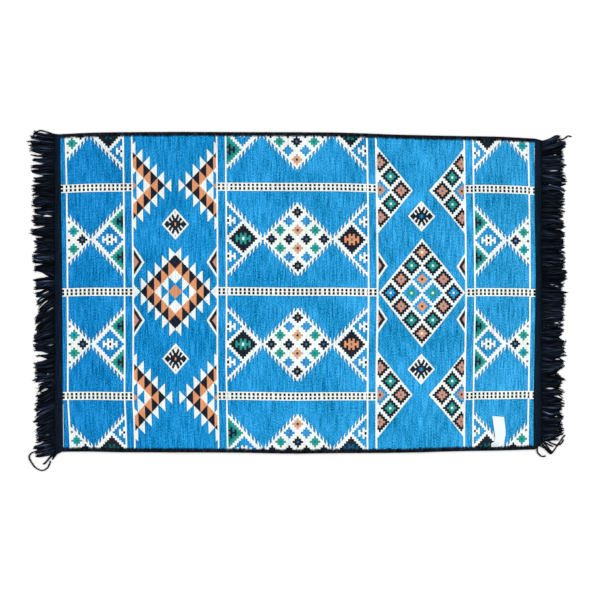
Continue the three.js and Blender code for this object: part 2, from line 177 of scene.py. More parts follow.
@dataclass(frozen=True)
class Lay:
    """How the rug lies on the floor. Lengths are millimetres from the middle of the plain chart."""

    edge_x: tuple[float, ...] = (
        -597.5, -522.5, -447.5, -297.5, -147.5, -22.5, 102.5, 252.5, 402.5, 502.5, 590.0
    )
    back_y: tuple[float, ...] = (
        394.6, 398.2, 399.5, 400.2, 399.8, 399.5, 398.5, 393.2, 390.0, 388.2, 383.5
    )
    front_y: tuple[float, ...] = (
        -398.2, -398.0, -399.5, -400.0, -400.8, -402.8, -401.8, -400.8, -396.8, -395.2, -392.5
    )
    end_v: tuple[float, ...] = (-1, 0, 1)
    left_x: tuple[float, ...] = (-591.3, -593.8, -598.0)
    right_x: tuple[float, ...] = (588.8, 591.0, 590.3)
    creases: tuple[Crease, ...] = (
        Crease(-302.5, 1.4, 14, valley=True, tone=-0.16, painted_light=1.6),
        Crease(-5.0, 1.8, 12, tone=0.05),
        Crease(297.5, 1.2, 24, tone=0.06, painted_light=14),
    )
    serging_wrap: float = 1.2
    gap: float = 0.3
    thickness: float = 2.4
    rise_flat: float = 10
    rise_ramp: float = 22
    swell: float = 0.35
    roll_x: tuple[float, float] = (61, 95)
    roll_y: tuple[float, float] = (47, 83)
    roll_bend: tuple[float, float] = (0.9, 1.3)
    half_width: float = 400
    skew_v: tuple[float, ...] = (-1, -0.8, -0.65, -0.45, 0, 0.6, 1)
    skew_share: tuple[float, ...] = (0, 0.012, 0.14, 0.345, 0.66, 0.8, 0.87, 0.96, 0.987, 1)
    skew: tuple[tuple[float, ...], ...] = (
        (0, 6.7, 3.5, 2.2, -2.4, -1.3, -3.6, -4.6, -3.6, 0),
        (0, 2.6, 1.4, 0.9, -2.4, -1.6, -3.4, -3.6, -3.0, 0),
        (0, -0.4, -1.0, 0.2, -2.4, -1.4, -2.8, -2.8, -2.4, 0),
        (0, 0.1, -0.3, -1.2, -2.2, -1.0, -2.3, -1.8, -1.6, 0),
        (0, 0.4, 0.2, 0.1, 0, -0.2, 0, 0, 0, 0),
        (0, 0.9, 0.3, 0.7, -0.8, -0.4, -2.4, -1.6, -1.6, 0),
        (0, -0.8, 0.2, 0.6, -2.6, -1.4, -4.2, -4.8, -4.2, 0),
    )

    def long_edge(self, x: Array, side: Side) -> Array:
        """Reads the y of the rug's front or back edge at places along its length."""
        return smooth(self.edge_x, self.back_y if side is Side.BACK else self.front_y, x)

    def woven_end(self, v: Array, side: Side) -> Array:
        """Reads the x of the woven left or right end at places from -1 at the front to 1 at the back."""
        return smooth(self.end_v, self.left_x if side is Side.LEFT else self.right_x, v)

    def crease_lift(self, x: Array) -> Array:
        """Height that the creases lift the cloth by.

        Args:
            x: Places along the length.

        Returns:
            The lift at those places.
        """
        lift = np.zeros_like(x)
        for crease in self.creases:
            away = np.abs(x - crease.x) - (crease.width if crease.valley else 0)
            lift += crease.height * np.exp(-((away / crease.width) ** 2))
        return lift

    def edge_lift(self, distance: Array) -> Array:
        """Height of the cloth over the yarn wrapped under its long edges, at a distance from its edge."""
        fall = np.clip((distance - self.rise_flat) / self.rise_ramp, 0, 1)
        return (self.serging_wrap + self.gap) * (1 - ease(fall))

    def underside(self, x: Array, y: Array, v: Array) -> Array:
        """Height of the cloth's underside.

        Args:
            x: Places along the length.
            y: Places across.
            v: Places across the rug, from -1 to 1.

        Returns:
            The height above the floor.
        """
        lift = self.crease_lift(x) + self.edge_lift((1 - np.abs(v)) * self.half_width)
        (short_x, long_x), (short_y, long_y), (bend_y, bend_x) = self.roll_x, self.roll_y, self.roll_bend
        across = np.sin(y / short_y + bend_y * np.sin(x / long_x))
        return lift + self.swell * (1 + np.sin(x / short_x + bend_x * np.sin(y / long_y)) * across) / 2

    def lean(self, share: Array, v: Array) -> Array:
        """How far the weft has been pulled sideways between the ends.

        Args:
            share: Places along the length, from 0 at the left end to 1 at the right.
            v: Places across the rug.

        Returns:
            The shift along X.
        """
        columns = [smooth(self.skew_v, column, v) for column in zip(*self.skew, strict=True)]
        shift = np.zeros(np.broadcast(share, v).shape)
        for k in range(len(columns) - 1):
            low, high = self.skew_share[k], self.skew_share[k + 1]
            inside = (share >= low) & (share <= high)
            way = ease((share - low) / (high - low))
            shift = np.where(inside, columns[k] + (columns[k + 1] - columns[k]) * way, shift)
        return shift

    def plan(self, share: Array, v: Array, inset: float) -> tuple[Array, Array]:
        """Places points of the cloth on the floor plan.

        Args:
            share: Places along the length, from 0 to 1.
            v: Places across the rug, from -1 to 1.
            inset: Distance from the outer edge at which the cloth ends.

        Returns:
            The x and y of the points.
        """
        left, right = self.woven_end(v, Side.LEFT), self.woven_end(v, Side.RIGHT)
        straight = left + (right - left) * share
        back = self.long_edge(straight, Side.BACK) - inset
        front = self.long_edge(straight, Side.FRONT) + inset
        return straight + self.lean(share, v), front + (back - front) * (v + 1) / 2


@dataclass(frozen=True)
class Band:
    """A band of the chart across the rug.

    Attributes:
        width: Its width in millimetres.
        picks: How many picks are woven in it.
        dots: First pick of each dot where the dotted bars cross it.
        barred: Whether the dotted bars cross it.
        line: Whether it is one of the cream lines.
        rise: How many rows its pattern lies towards the back.
        gather: How closely its rows are beaten, 1 for the nominal spacing.
        slack: Places in it, as shares of its width, where its picks lie further right, and by how much.
    """

    width: float
    picks: int
    dots: tuple[int, ...] = ()
    barred: bool = True
    line: bool = False
    rise: float = 0.5
    gather: float = 0.994
    slack: tuple[tuple[float, float], ...] = ()


def every_other_cell(first: int, cells: int) -> tuple[int, ...]:
    """First pick of every second cell of a band of so many cells, from the first one that is taken."""
    return tuple(range(first * PICKS_PER_CELL, cells * PICKS_PER_CELL, 2 * PICKS_PER_CELL))


MIDDLE_CELLS = 65
MIDDLE_DOTS = tuple(round(k * MIDDLE_CELLS * PICKS_PER_CELL / 32 - 1.5) for k in range(33))
BANDS: dict[str, Band] = {
    "left_border": Band(11.65, 6, (0,), rise=0.18),
    "line_1": Band(4.15, 3, (0,), line=True, rise=0.18),
    "left_wings": Band(138.5, 78, every_other_cell(1, 26), rise=0.18, slack=((0.2, 1.0), (0.45, 0.6))),
    "line_2": Band(4.15, 3, line=True, rise=0.2),
    "stripe_1": Band(17.2, 9, (0, 6), rise=0.2),
    "line_3": Band(4.15, 3, line=True, rise=0.2),
    "sawtooth": Band(207.1, 117, barred=False, rise=0.25, gather=1, slack=((0.2, -0.6), (0.8, 0.5))),
    "line_4": Band(4.15, 3, line=True),
    "stripe_2": Band(18.2, 10, (0, 6)),
    "line_5": Band(4, 3, line=True),
    "middle": Band(351, 195, MIDDLE_DOTS, slack=((0.13, -0.4), (0.5, 0.9), (0.77, 2.1))),
    "line_6": Band(4.4, 3, line=True),
    "stripe_3": Band(17.6, 9, (0, 6)),
    "line_7": Band(4.9, 3, line=True),
    "lattice": Band(216.6, 125, barred=False, gather=1, slack=((0.45, 0.7), (0.8, 2.2))),
    "line_8": Band(4.4, 3, line=True, gather=1),
    "stripe_4": Band(18, 10, (1, 7), gather=1),
    "line_9": Band(4.15, 3, line=True, gather=1),
    "right_wings": Band(
        133.4, 78, every_other_cell(0, 26), rise=0.7, gather=1, slack=((0.25, -0.5), (0.7, -0.2))
    ),
    "line_10": Band(4, 3, (0,), line=True, gather=1),
    "right_border": Band(13.05, 8, (4,), gather=1),
}


@dataclass(frozen=True)
class WingDress:
    """Yarns of a large wing: its diamond and the half diamonds at its corners."""

    ground: Yarn
    star: Yarn
    eye: Yarn
    corner: Yarn = Yarn.AZURE
    corner_star: Yarn = Yarn.CREAM
    corner_eye: Yarn = Yarn.INK
    corner_star_cut: bool = False
    star_in: float = 0


class Chart:
    """The weaver's chart: which yarn shows at each beat of each pick."""

    # How many beats from a cream edge the painted slit shade reaches.
    slit_shade_beats = 2
    bare_left_rows = -50
    bare_right_rows = (57, 67)

    def __init__(self) -> None:
        """Draws the whole chart, band by band."""
        self.picks = sum(band.picks for band in BANDS.values())
        self.grid = np.full((self.picks, BEATS), YARNS.index(Yarn.AZURE), np.uint8)
        rows = (np.arange(BEATS) + 0.5) / BEATS_PER_ROW - ROWS / 2
        bands, at = {}, 0
        for name, band in BANDS.items():
            bands[name] = BandChart(band, self.grid[at : at + band.picks], rows)
            at += band.picks
        low, high = self.bare_right_rows
        self.grid[0, rows < self.bare_left_rows] = YARNS.index(Yarn.CREAM)
        self.grid[-2, (rows > low) & (rows < high)] = YARNS.index(Yarn.CREAM)
        bands["left_wings"].draw_winged_band(10, 1)
        bands["right_wings"].draw_winged_band(15, -1)
        bands["sawtooth"].draw_sawtooth_band()
        bands["middle"].draw_middle_band()
        bands["lattice"].draw_lattice_band()
        for band in bands.values():
            band.draw_lines_and_bars()
        self.paint_slit_shade()

    def paint_slit_shade(self) -> None:
        """Gives azure beats within a pick or a few beats of a cream one a darker blue: painted shade, as in
        the slit where the weft turns back.
        """
        pale = np.isin(self.grid, [YARNS.index(Yarn.CREAM), YARNS.index(Yarn.MILK)])
        near = np.zeros_like(pale)
        near[1:] |= pale[:-1]
        near[:-1] |= pale[1:]
        for beats in range(1, self.slit_shade_beats + 1):
            near[:, beats:] |= pale[:, :-beats]
            near[:, :-beats] |= pale[:, beats:]
        self.grid[near & (self.grid == YARNS.index(Yarn.AZURE))] = YARNS.index(Yarn.SLIT_SHADE)


class BandChart:
    """One band of the chart, with the ornament that is drawn in it.

    A cell is three picks wide and one row high, and a row is six beats. Names with a unit in them, such as
    bar_beats, are in that unit. The flakes, finer than a cell, are measured in millimetres. A mask says
    which beats of the band's picks are meant, and inside always means the beats that a motif may take.
    """

    bar_beats = (-281, 0, 281)
    bar_half_beats = 11
    dot_beats = (1.2, 8.2)
    dot_picks = 3
    eye_beats = 4
    wing_rows = (-71, -23.5, 23.5, 71)
    whole_rows = 30
    tine_first = 3
    tine_pitch = 5.0
    long_tine_pitch = 5.15
    tine_rows = 2.0
    joint_rows = 0.4
    joint_cells = 0.6
    notch_from = 4
    notch_rows = 1.3
    diamond_cells = 9
    corner_cells = 16
    corner_rows = 8
    diamond_steps = 6
    medallion_cells = 4
    sawtooth_picks = 10
    sawtooth_rows = 20 / BEATS_PER_ROW
    row_height = 5.6
    flake_half = (33.6, 39.0)
    flake_petals = 0.84
    petal_gaps = ((12.6, 3.6, 22.0, 15.5), (6.2, 8.6, 12.6, 23.0))
    petal_gap_half = 1.45
    tip_gap_from = 15
    side_flake_half = (35.5, 53)
    side_flake_heart = (20.5, 30)
    lattice_picks = 15
    lattice_rows = 6.1

    def __init__(self, band: Band, grid: Array, rows: Array) -> None:
        """Starts on a band's part of the chart, its rows counted from the middle of its pattern."""
        self.band, self.grid = band, grid
        self.rows = ((rows - band.rise) / band.gather)[None, :]
        self.picks = (np.arange(band.picks) + 0.5)[:, None]

    def paint(self, mask: Array, yarn: Yarn) -> None:
        """Gives part of the band its yarn."""
        self.grid[np.broadcast_to(mask, self.grid.shape)] = YARNS.index(yarn)

    def near(self, cell: float, row: float) -> tuple[Array, Array]:
        """Counts how many whole cells to the right and rows to the back of a cell the beats lie."""
        across = np.floor((self.picks - cell * PICKS_PER_CELL) / PICKS_PER_CELL)
        return across, np.floor(self.rows - row + 0.5)

    def draw_lines_and_bars(self) -> None:
        """Draws the cream line that the band may be, and the cream bars with their rows of navy dots."""
        if self.band.line:
            self.grid[:] = YARNS.index(Yarn.MILK)
        if self.band.barred:
            low, high = self.dot_beats
            dotted = np.zeros((self.band.picks, 1), bool)
            for pick in self.band.dots:
                dotted[max(pick, 0) : pick + self.dot_picks] = True
            for centre in self.bar_beats:
                away = np.abs(self.rows * BEATS_PER_ROW - centre)
                self.paint(away < self.bar_half_beats, Yarn.CREAM)
                self.paint(dotted & (away > low) & (away < high), Yarn.INK)

    def draw_wing(
        self, crossing: int, side: int, length: int, row: float, pitch: float = tine_pitch
    ) -> Array:
        """Draws a cream wing that opens from a crossing, with tines along its edges.

        Args:
            crossing: The cell of the crossing.
            side: 1 where the wing opens to the right, -1 to the left.
            length: Its length in cells.
            row: The row of the crossing.
            pitch: Distance between its tines, in picks.

        Returns:
            The beats inside the wing.
        """
        picks = self.picks
        middle = (crossing + 0.5) * PICKS_PER_CELL
        open_by = side * (picks - middle) / PICKS_PER_CELL
        step = np.round(side * (picks - middle))
        tines = np.round(self.tine_first + pitch * np.arange(length))
        reach = np.abs(self.rows - row)
        within = (open_by > -self.joint_cells) & (open_by < length + self.joint_cells)
        toothed = within & (step > 0) & (open_by < length - 0.5)
        notched = toothed & (step > self.notch_from) & np.isin(step - 1, tines)
        self.paint(notched & (reach < open_by + self.notch_rows), Yarn.TEAL)
        for ahead in (0, 1):
            tine = reach < open_by + self.tine_rows - 0.5 * ahead
            self.paint(toothed & np.isin(step + ahead, tines) & tine, Yarn.CREAM)
        inside = within & (reach < np.maximum(open_by, self.joint_rows))
        self.paint(inside, Yarn.CREAM)
        return inside

    def draw_star(self, cell: float, row: float, star: Yarn, eye: Yarn, inside: Array) -> None:
        """Draws an eight-armed star.

        Args:
            cell: Cell of its middle.
            row: Row of its middle.
            star: Yarn of its arms.
            eye: Yarn of its middle.
            inside: The beats that it may take.
        """
        across, along = self.near(cell, row)
        over, up = np.abs(across), np.abs(along)
        arms = (up == 2) & (over == 1) | (up == 1) & ((over <= 1) | (over == 3)) | (up == 0) & (over <= 3)
        self.paint(inside & arms, star)
        beats = np.abs(self.rows - row) * BEATS_PER_ROW
        self.paint(inside & (over == 0) & (beats < self.eye_beats), eye)

    def draw_diamond(self, cell: float, row: float, radius: int, yarn: Yarn, inside: Array) -> None:
        """Draws a stepped diamond round a cell, with so many steps from its middle to a corner."""
        across, along = self.near(cell, row)
        self.paint(inside & (np.abs(across) + np.abs(along) <= radius), yarn)

    def draw_large_wing(
        self, crossing: int, side: int, length: int, row: float, dress: WingDress, pitch: float = tine_pitch
    ) -> None:
        """Draws a large wing with its diamonds and stars.

        Args:
            crossing: The cell of the crossing.
            side: 1 where the wing opens to the right, -1 to the left.
            length: Its length in cells.
            row: The row of the crossing.
            dress: Its yarns.
            pitch: Distance between its tines, in picks.
        """
        inside = self.draw_wing(crossing, side, length, row, pitch)
        middle, corner = crossing + self.diamond_cells * side, crossing + self.corner_cells * side
        self.draw_diamond(middle, row, self.diamond_steps, dress.ground, inside)
        star_row = row - math.copysign(dress.star_in, row)
        self.draw_star(middle, star_row, dress.star, dress.eye, inside)
        for up in (-self.corner_rows, self.corner_rows):
            self.draw_diamond(corner, row + up, self.diamond_steps, dress.corner, inside)
            if dress.corner is Yarn.GREEN:
                self.draw_diamond(corner, row + up, self.diamond_steps - 2, Yarn.FERN, inside)
            self.draw_star(corner, row + up, dress.corner_star, dress.corner_eye, inside)
            if dress.corner_star_cut:
                self.draw_diamond(corner - side, row + up, 0, dress.corner_eye, inside)

    def draw_crosses(self, places: list[Cross], inside: Array) -> None:
        """Draws small crosses.

        Args:
            places: Cell, row, yarn and middle yarn of each.
            inside: The beats that they may take.
        """
        for cell, row, yarn, eye in places:
            self.draw_diamond(cell, row, 2, yarn, inside)
            self.draw_diamond(cell, row, 0, eye, inside)

    def draw_winged_band(self, crossing: int, side: int) -> None:
        """Draws the narrow band at an end of the rug: a large and a small wing at each crossing.

        Args:
            crossing: The cell of its crossings.
            side: The way in which the large wings open.
        """
        blue = WingDress(Yarn.AZURE, Yarn.CREAM, Yarn.INK, Yarn.GREEN, Yarn.NAVY, Yarn.NAVY)
        dark = WingDress(Yarn.NAVY, Yarn.PINE, Yarn.NAVY, corner_star_cut=True)
        speck = Yarn.MIST if side > 0 else Yarn.TAUPE
        for row in self.wing_rows:
            self.draw_large_wing(crossing, side, 15, row, blue if abs(row) < self.whole_rows else dark)
            inside = self.draw_wing(crossing, -side, 10, row)
            crosses = [
                (crossing - 4 * side, row, Yarn.NAVY, Yarn.DUSK if side > 0 else Yarn.HAZE),
                (crossing - 12 * side, row, Yarn.INK, Yarn.INK),
            ]
            for up in (-1, 1):
                green = Yarn.LAGOON if up == side else Yarn.GREEN
                crosses.append((crossing - 8 * side, row + 4 * up, green, Yarn.FERN))
                crosses.append((crossing - 12 * side, row + 8 * up, speck, speck))
            self.draw_crosses(crosses, inside)

    def draw_middle_band(self) -> None:
        """Draws the wide middle band: medallions of crosses between pairs of large wings."""
        middle, reach, pitch = MIDDLE_CELLS // 2, 16, self.long_tine_pitch
        left = WingDress(Yarn.NAVY, Yarn.GREEN, Yarn.CREAM)
        right = WingDress(Yarn.NAVY, Yarn.SALMON, Yarn.MIST)
        left_half = WingDress(Yarn.AZURE, Yarn.CREAM, Yarn.INK, Yarn.GREEN, Yarn.NAVY, Yarn.MIST)
        back_half = WingDress(Yarn.NAVY, Yarn.FERN, Yarn.NAVY, star_in=0.8)
        front_half = WingDress(Yarn.NAVY, Yarn.TEAL, Yarn.NAVY, star_in=0.8)
        for left_row, right_row, row in (
            (-71.33, -71.33, -71.05),
            (-23.7, -23.5, -23.5),
            (23.7, 23.5, 23.5),
            (71.33, 71.33, 71.05),
        ):
            whole = abs(row) < self.whole_rows
            right_half = back_half if row > 0 else front_half
            self.draw_large_wing(middle - reach, -1, 16, left_row, left if whole else left_half, pitch)
            self.draw_large_wing(middle + reach, 1, 16, right_row, right if whole else right_half, pitch)
            inside = self.draw_wing(middle - reach, 1, 16, row)
            inside |= self.draw_wing(middle + reach, -1, 16, row)
            self.draw_crosses(self.medallion_crosses(middle, row, whole), inside)

    def medallion_crosses(self, middle: int, row: float, whole: bool) -> list[Cross]:
        """Lists the crosses of a medallion.

        Args:
            middle: Its middle cell.
            row: Its middle row.
            whole: Whether all of it shows, and not only half.

        Returns:
            Cell, row, yarn and middle yarn of each cross.
        """
        crosses = []
        for b in range(-3, 4):
            for a in range(-3 + abs(b), 4 - abs(b), 2):
                yarn, eye = Yarn.NAVY, Yarn.DUSK
                if abs(b) == 3:
                    yarn, eye = (Yarn.NAVY, Yarn.TAUPE) if whole else (Yarn.PEACH, Yarn.NAVY)
                elif abs(b) == 2:
                    yarn, eye = Yarn.AZURE, Yarn.MAUVE
                elif abs(b) == 1 and a:
                    yarn, eye = Yarn.GREEN, Yarn.FERN
                elif abs(b) == 1:
                    yarn, eye = (Yarn.PEACH, Yarn.NAVY) if whole else (Yarn.NAVY, Yarn.DUSK)
                over, up = self.medallion_cells * a, self.medallion_cells * b
                crosses.append((middle + over, row + up, yarn, eye))
        return crosses

    def draw_sawtooth(self, middle: float, row: float) -> None:
        """Draws a sawtooth medallion of the band next to the left wings.

        Args:
            middle: Pick of its middle.
            row: Row of its middle.
        """
        pick_unit = self.sawtooth_picks
        picks = np.round(np.abs(self.picks - middle))
        b = np.abs(self.rows - row) / self.sawtooth_rows
        column = np.floor(picks / pick_unit)
        wide = (picks % pick_unit + 0.5) / pick_unit
        odd = (column + 1) % 2
        tip = 2 * np.floor((b - odd) / 2 + 0.5) + odd
        tooth = np.abs(b - tip) <= wide
        ring = (tip + column - 1) / 2
        spread = column + wide + b
        for yarn, mask in (
            (Yarn.CREAM, (spread < 3) & ~tooth),
            (Yarn.SALMON, (spread < 1) & ~tooth),
            (Yarn.NAVY, (spread >= 3) & (spread < 5) & ~tooth),
            (Yarn.AZURE, tooth & (ring == 0)),
            (Yarn.SALMON, tooth & (ring == 1)),
            (Yarn.CREAM, tooth & (ring == 2) & (picks % pick_unit < pick_unit - 1)),
        ):
            self.paint(mask, yarn)

    def aside_and_up(self, middle: float, row: float) -> tuple[Array, Array]:
        """Measures how far aside and how far up the beats lie from a pick and a row, in millimetres."""
        over = np.abs(self.picks - middle) * (self.band.width / self.band.picks)
        return over, np.abs(self.rows - row) * self.row_height

    def draw_flake(self, middle: float, row: float, eye: Yarn, tip: Yarn) -> None:
        """Draws a small cream diamond with an eight-petalled navy flake.

        Args:
            middle: Pick of its middle.
            row: Row of its middle.
            eye: Yarn of its middle.
            tip: Yarn of its upper and lower tip.
        """
        over, up = self.aside_and_up(middle, row)
        spread = over / self.flake_half[0] + up / self.flake_half[1]
        self.paint(spread <= 1, Yarn.CREAM)
        petals = spread < self.flake_petals
        for from_x, from_y, to_x, to_y in self.petal_gaps:
            run_x, run_y = to_x - from_x, to_y - from_y
            length = math.hypot(run_x, run_y)
            along = ((over - from_x) * run_x + (up - from_y) * run_y) / length
            aside = np.abs((over - from_x) * run_y - (up - from_y) * run_x) / length
            petals = petals & ~((along > 0) & (aside < self.petal_gap_half))
        beyond = up - self.tip_gap_from
        petals = petals & ~((beyond > 0) & (over < beyond * 0.42 + 0.9))
        self.paint(petals, Yarn.NAVY)
        if eye is Yarn.AZURE:
            self.paint((over < 5) & (up < 4.8), Yarn.TEAL)
        self.paint((over < 2) & (up < 4), eye)
        self.paint((over < 2.4) & (up > 25.5) & (up < 31), tip)

    def draw_side_flake(self, middle: float, row: float, heart: Yarn) -> None:
        """Draws the half of a small navy diamond that shows beside a cream line.

        Args:
            middle: Pick of its middle, past the band's edge.
            row: Row of its middle.
            heart: Yarn of its middle.
        """
        over, up = self.aside_and_up(middle, row)
        spread = over / self.side_flake_half[0] + up / self.side_flake_half[1]
        self.paint(spread <= 1, Yarn.CREAM)
        self.paint(spread < 0.83, Yarn.NAVY)
        self.paint(over / self.side_flake_heart[0] + up / self.side_flake_heart[1] < 1, heart)

    def draw_sawtooth_band(self) -> None:
        """Draws the band of sawtooth medallions."""
        picks = self.band.picks
        middle, left, right = picks / 2, -4.5, picks + 5.5
        for row in (-47.05, 47.2):
            for side in (left, right):
                self.draw_sawtooth(side, row)
        for row in (-12.75, 13.15):
            for side in (left, right):
                self.draw_side_flake(side, row, Yarn.ROSE)
        self.draw_sawtooth(middle, 0)
        for row in (-29.9, 30.0):
            self.draw_flake(middle + 0.6, row, Yarn.SALMON, Yarn.BLUSH)

    def draw_lattice(
        self,
        middle: float,
        row: float,
        halves: tuple[float, float],
        dress: dict[tuple[int, int], tuple[Yarn, Yarn, Yarn]],
    ) -> None:
        """Draws a medallion of stepped diamonds on a cream lattice.

        Args:
            middle: Pick of its middle.
            row: Row of its middle.
            halves: Half its width in picks and half its height in rows.
            dress: For each place, how far aside and how far up, the yarns of its diamond from outside in.
        """
        half_picks, half_rows = halves
        picks = self.picks
        inside = np.abs(picks - middle) / half_picks + np.abs(self.rows - row) / half_rows <= 1
        self.paint(inside, Yarn.CREAM)
        for b in range(-3, 4):
            for a in range(-3 + abs(b), 4 - abs(b), 2):
                if (abs(a), abs(b)) not in dress:
                    continue
                across = np.round((picks - middle - self.lattice_picks * a) / PICKS_PER_CELL)
                along = np.round(self.rows - row - self.lattice_rows * b)
                steps = np.abs(across) + np.abs(along)
                outer, inner, eye = dress[abs(a), abs(b)]
                self.paint(inside & (steps <= 4), outer)
                self.paint(inside & (steps <= 2), inner)
                self.paint(inside & (steps == 0), eye)

    def draw_lattice_band(self) -> None:
        """Draws the band of lattice medallions."""
        picks = self.band.picks
        whole = {
            (0, 3): (Yarn.NAVY, Yarn.PEACH, Yarn.CREAM),
            (1, 2): (Yarn.NAVY, Yarn.GREEN, Yarn.CREAM),
            (2, 1): (Yarn.NAVY, Yarn.ROSE, Yarn.MIST),
            (0, 1): (Yarn.AZURE, Yarn.SALMON, Yarn.NAVY),
            (3, 0): (Yarn.NAVY, Yarn.AZURE, Yarn.CREAM),
            (1, 0): (Yarn.AZURE, Yarn.GREEN, Yarn.CREAM),
        }
        half = {
            (3, 0): (Yarn.NAVY, Yarn.ROSE, Yarn.MIST),
            (2, 1): (Yarn.NAVY, Yarn.GREEN, Yarn.CREAM),
            (1, 2): (Yarn.NAVY, Yarn.ROSE, Yarn.MIST),
            (1, 0): (Yarn.AZURE, Yarn.ROSE, Yarn.NAVY),
        }
        for left_row, right_row in ((-45.8, -46.1), (45.9, 45.9)):
            self.draw_lattice(-11.5, left_row, (61.7, 23.9), half)
            self.draw_lattice(picks + 11.5, right_row, (63.75, 23.45), half)
        for side, row in ((-7.1, -11.95), (-7.1, 11.95), (picks + 7.4, -12.2), (picks + 7.4, 11.7)):
            self.draw_side_flake(side, row, Yarn.ROSE)
        self.draw_lattice(picks / 2, -0.1, (62.2, 24.45), whole)
        for row in (-34.45, 34.35):
            self.draw_flake(picks / 2 - 0.6, row, Yarn.AZURE, Yarn.BLUSH)


@dataclass(frozen=True)
class Place:
    """Where the plain chart's middle lies in the row's frame, in millimetres."""

    x: float
    y: float

    @classmethod
    def under(cls, node: str, lay: Lay) -> "Place":
        """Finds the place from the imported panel.

        Args:
            node: The panel's node.
            lay: How the rug lies.

        Returns:
            The place.
        """
        low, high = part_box(node)
        inset = lay.serging_wrap + lay.gap
        return cls(low.x / MM - min(lay.left_x), high.y / MM - (max(lay.back_y) - inset))

    def metres(self, points: Array) -> Array:
        """Turns points of the lay into points of the row's frame."""
        return (points + (self.x, self.y, 0)) * MM


@dataclass
class Draft:
    """A mesh in the making, in millimetres."""

    name: str
    points: Array
    faces: Faces
    maps: dict[str, Array] = field(default_factory=dict)
    colours: dict[str, Array] = field(default_factory=dict)
    flat: Array | None = None

    def build(self, place: Place) -> bpy.types.Object:
        """Makes the object.

        Args:
            place: Where the rug lies.

        Returns:
            The object, linked to the scene.
        """
        mesh = bpy.data.meshes.new(self.name)
        mesh.from_pydata(place.metres(self.points), [], self.faces)
        rounded = np.ones(len(self.faces), bool) if self.flat is None else ~self.flat
        mesh.polygons.foreach_set("use_smooth", rounded)
        for name, values in self.maps.items():
            mesh.uv_layers.new(name=name).data.foreach_set("uv", values.astype(np.float32).ravel())
        for name, values in self.colours.items():
            layer = mesh.color_attributes.new(name, "FLOAT_COLOR", "CORNER")
            layer.data.foreach_set("color", values.astype(np.float32).ravel())
        mesh.update()
        thing = bpy.data.objects.new(self.name, mesh)
        bpy.context.scene.collection.objects.link(thing)
        return thing


class Piece:
    """A piece of the rug. Each kind drafts its own mesh."""

    def draft(self) -> Draft:
        """Drafts the mesh of the piece."""
        raise NotImplementedError

    def dress(self, place: Place, material: bpy.types.Material, slot: str, node: str) -> bpy.types.Object:
        """Builds the piece, gives it its material and hides the node that it stands for.

        Args:
            place: Where the rug lies.
            material: Its material.
            slot: Not used.
            node: The node that it replaces.

        Returns:
            The piece.
        """
        thing = self.draft().build(place)
        thing.data.materials.append(material)
        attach(thing, "root")
        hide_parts(node)
        LOG.info("%s: %d points, %d faces", thing.name, len(thing.data.vertices), len(thing.data.polygons))
        return thing


def grey(tones: Array) -> Array:
    """Turns tones into colours that multiply a finish."""
    return np.column_stack([tones, tones, tones, np.ones_like(tones)])


def corners_of(faces: Faces) -> Array:
    """Lists the point at each corner of each face."""
    return np.concatenate([np.array(face) for face in faces])


def stitch(first: list[tuple[int, int]], second: list[tuple[int, int]]) -> Faces:
    """Joins two rows of points that begin and end together with quads and triangles.

    Args:
        first: Place and index of each point of one row, in rising order of place.
        second: The same for the other row.

    Returns:
        The faces, turning from the first row to the second.
    """
    faces = []
    i = j = 0
    while i < len(first) - 1 or j < len(second) - 1:
        ahead_i = first[i + 1][0] if i < len(first) - 1 else math.inf
        ahead_j = second[j + 1][0] if j < len(second) - 1 else math.inf
        if ahead_i == ahead_j:
            faces.append((first[i][1], second[j][1], second[j + 1][1], first[i + 1][1]))
            i, j = i + 1, j + 1
        elif ahead_i < ahead_j:
            faces.append((first[i][1], second[j][1], first[i + 1][1]))
            i += 1
        else:
            faces.append((first[i][1], second[j][1], second[j + 1][1]))
            j += 1
    return faces


def slab(
    name: str, sides: tuple[Array, Array], tones: Array, threads: tuple[float, float], turned: bool
) -> Draft:
    """Makes a closed woven slab.

    Args:
        name: Its name.
        sides: Points of its upper side and of its underside, by row and column.
        tones: Colour of each point of a side, which multiplies the finish.
        threads: How many threads lie between neighbouring columns, and between neighbouring rows.
        turned: Whether the rows and columns run the other way round seen from above.

    Returns:
        The slab.
    """
    rows, columns = sides[0].shape[:2]
    faces, count = [], rows * columns
    for i in range(rows - 1):
        for k in range(columns - 1):
            a = i * columns + k
            quad = (a, a + 1, a + 1 + columns, a + columns)
            faces += [quad, tuple(n + count for n in quad[::-1])]
    ring = list(range(columns))
    ring += [i * columns + columns - 1 for i in range(1, rows)]
    ring += [(rows - 1) * columns + k for k in range(columns - 2, -1, -1)]
    ring += [i * columns for i in range(rows - 2, 0, -1)]
    faces += [(a, a + count, b + count, b) for a, b in zip(ring, ring[1:] + ring[:1])]
    if turned:
        faces = [face[::-1] for face in faces]
    corners = corners_of(faces) % count
    weave = np.column_stack([corners % columns * threads[0], corners // columns * threads[1]])
    points = np.vstack([side.reshape(-1, 3) for side in sides])
    return Draft(name, points, faces, maps={"Weave": weave}, colours={"Tone": tones[corners]})


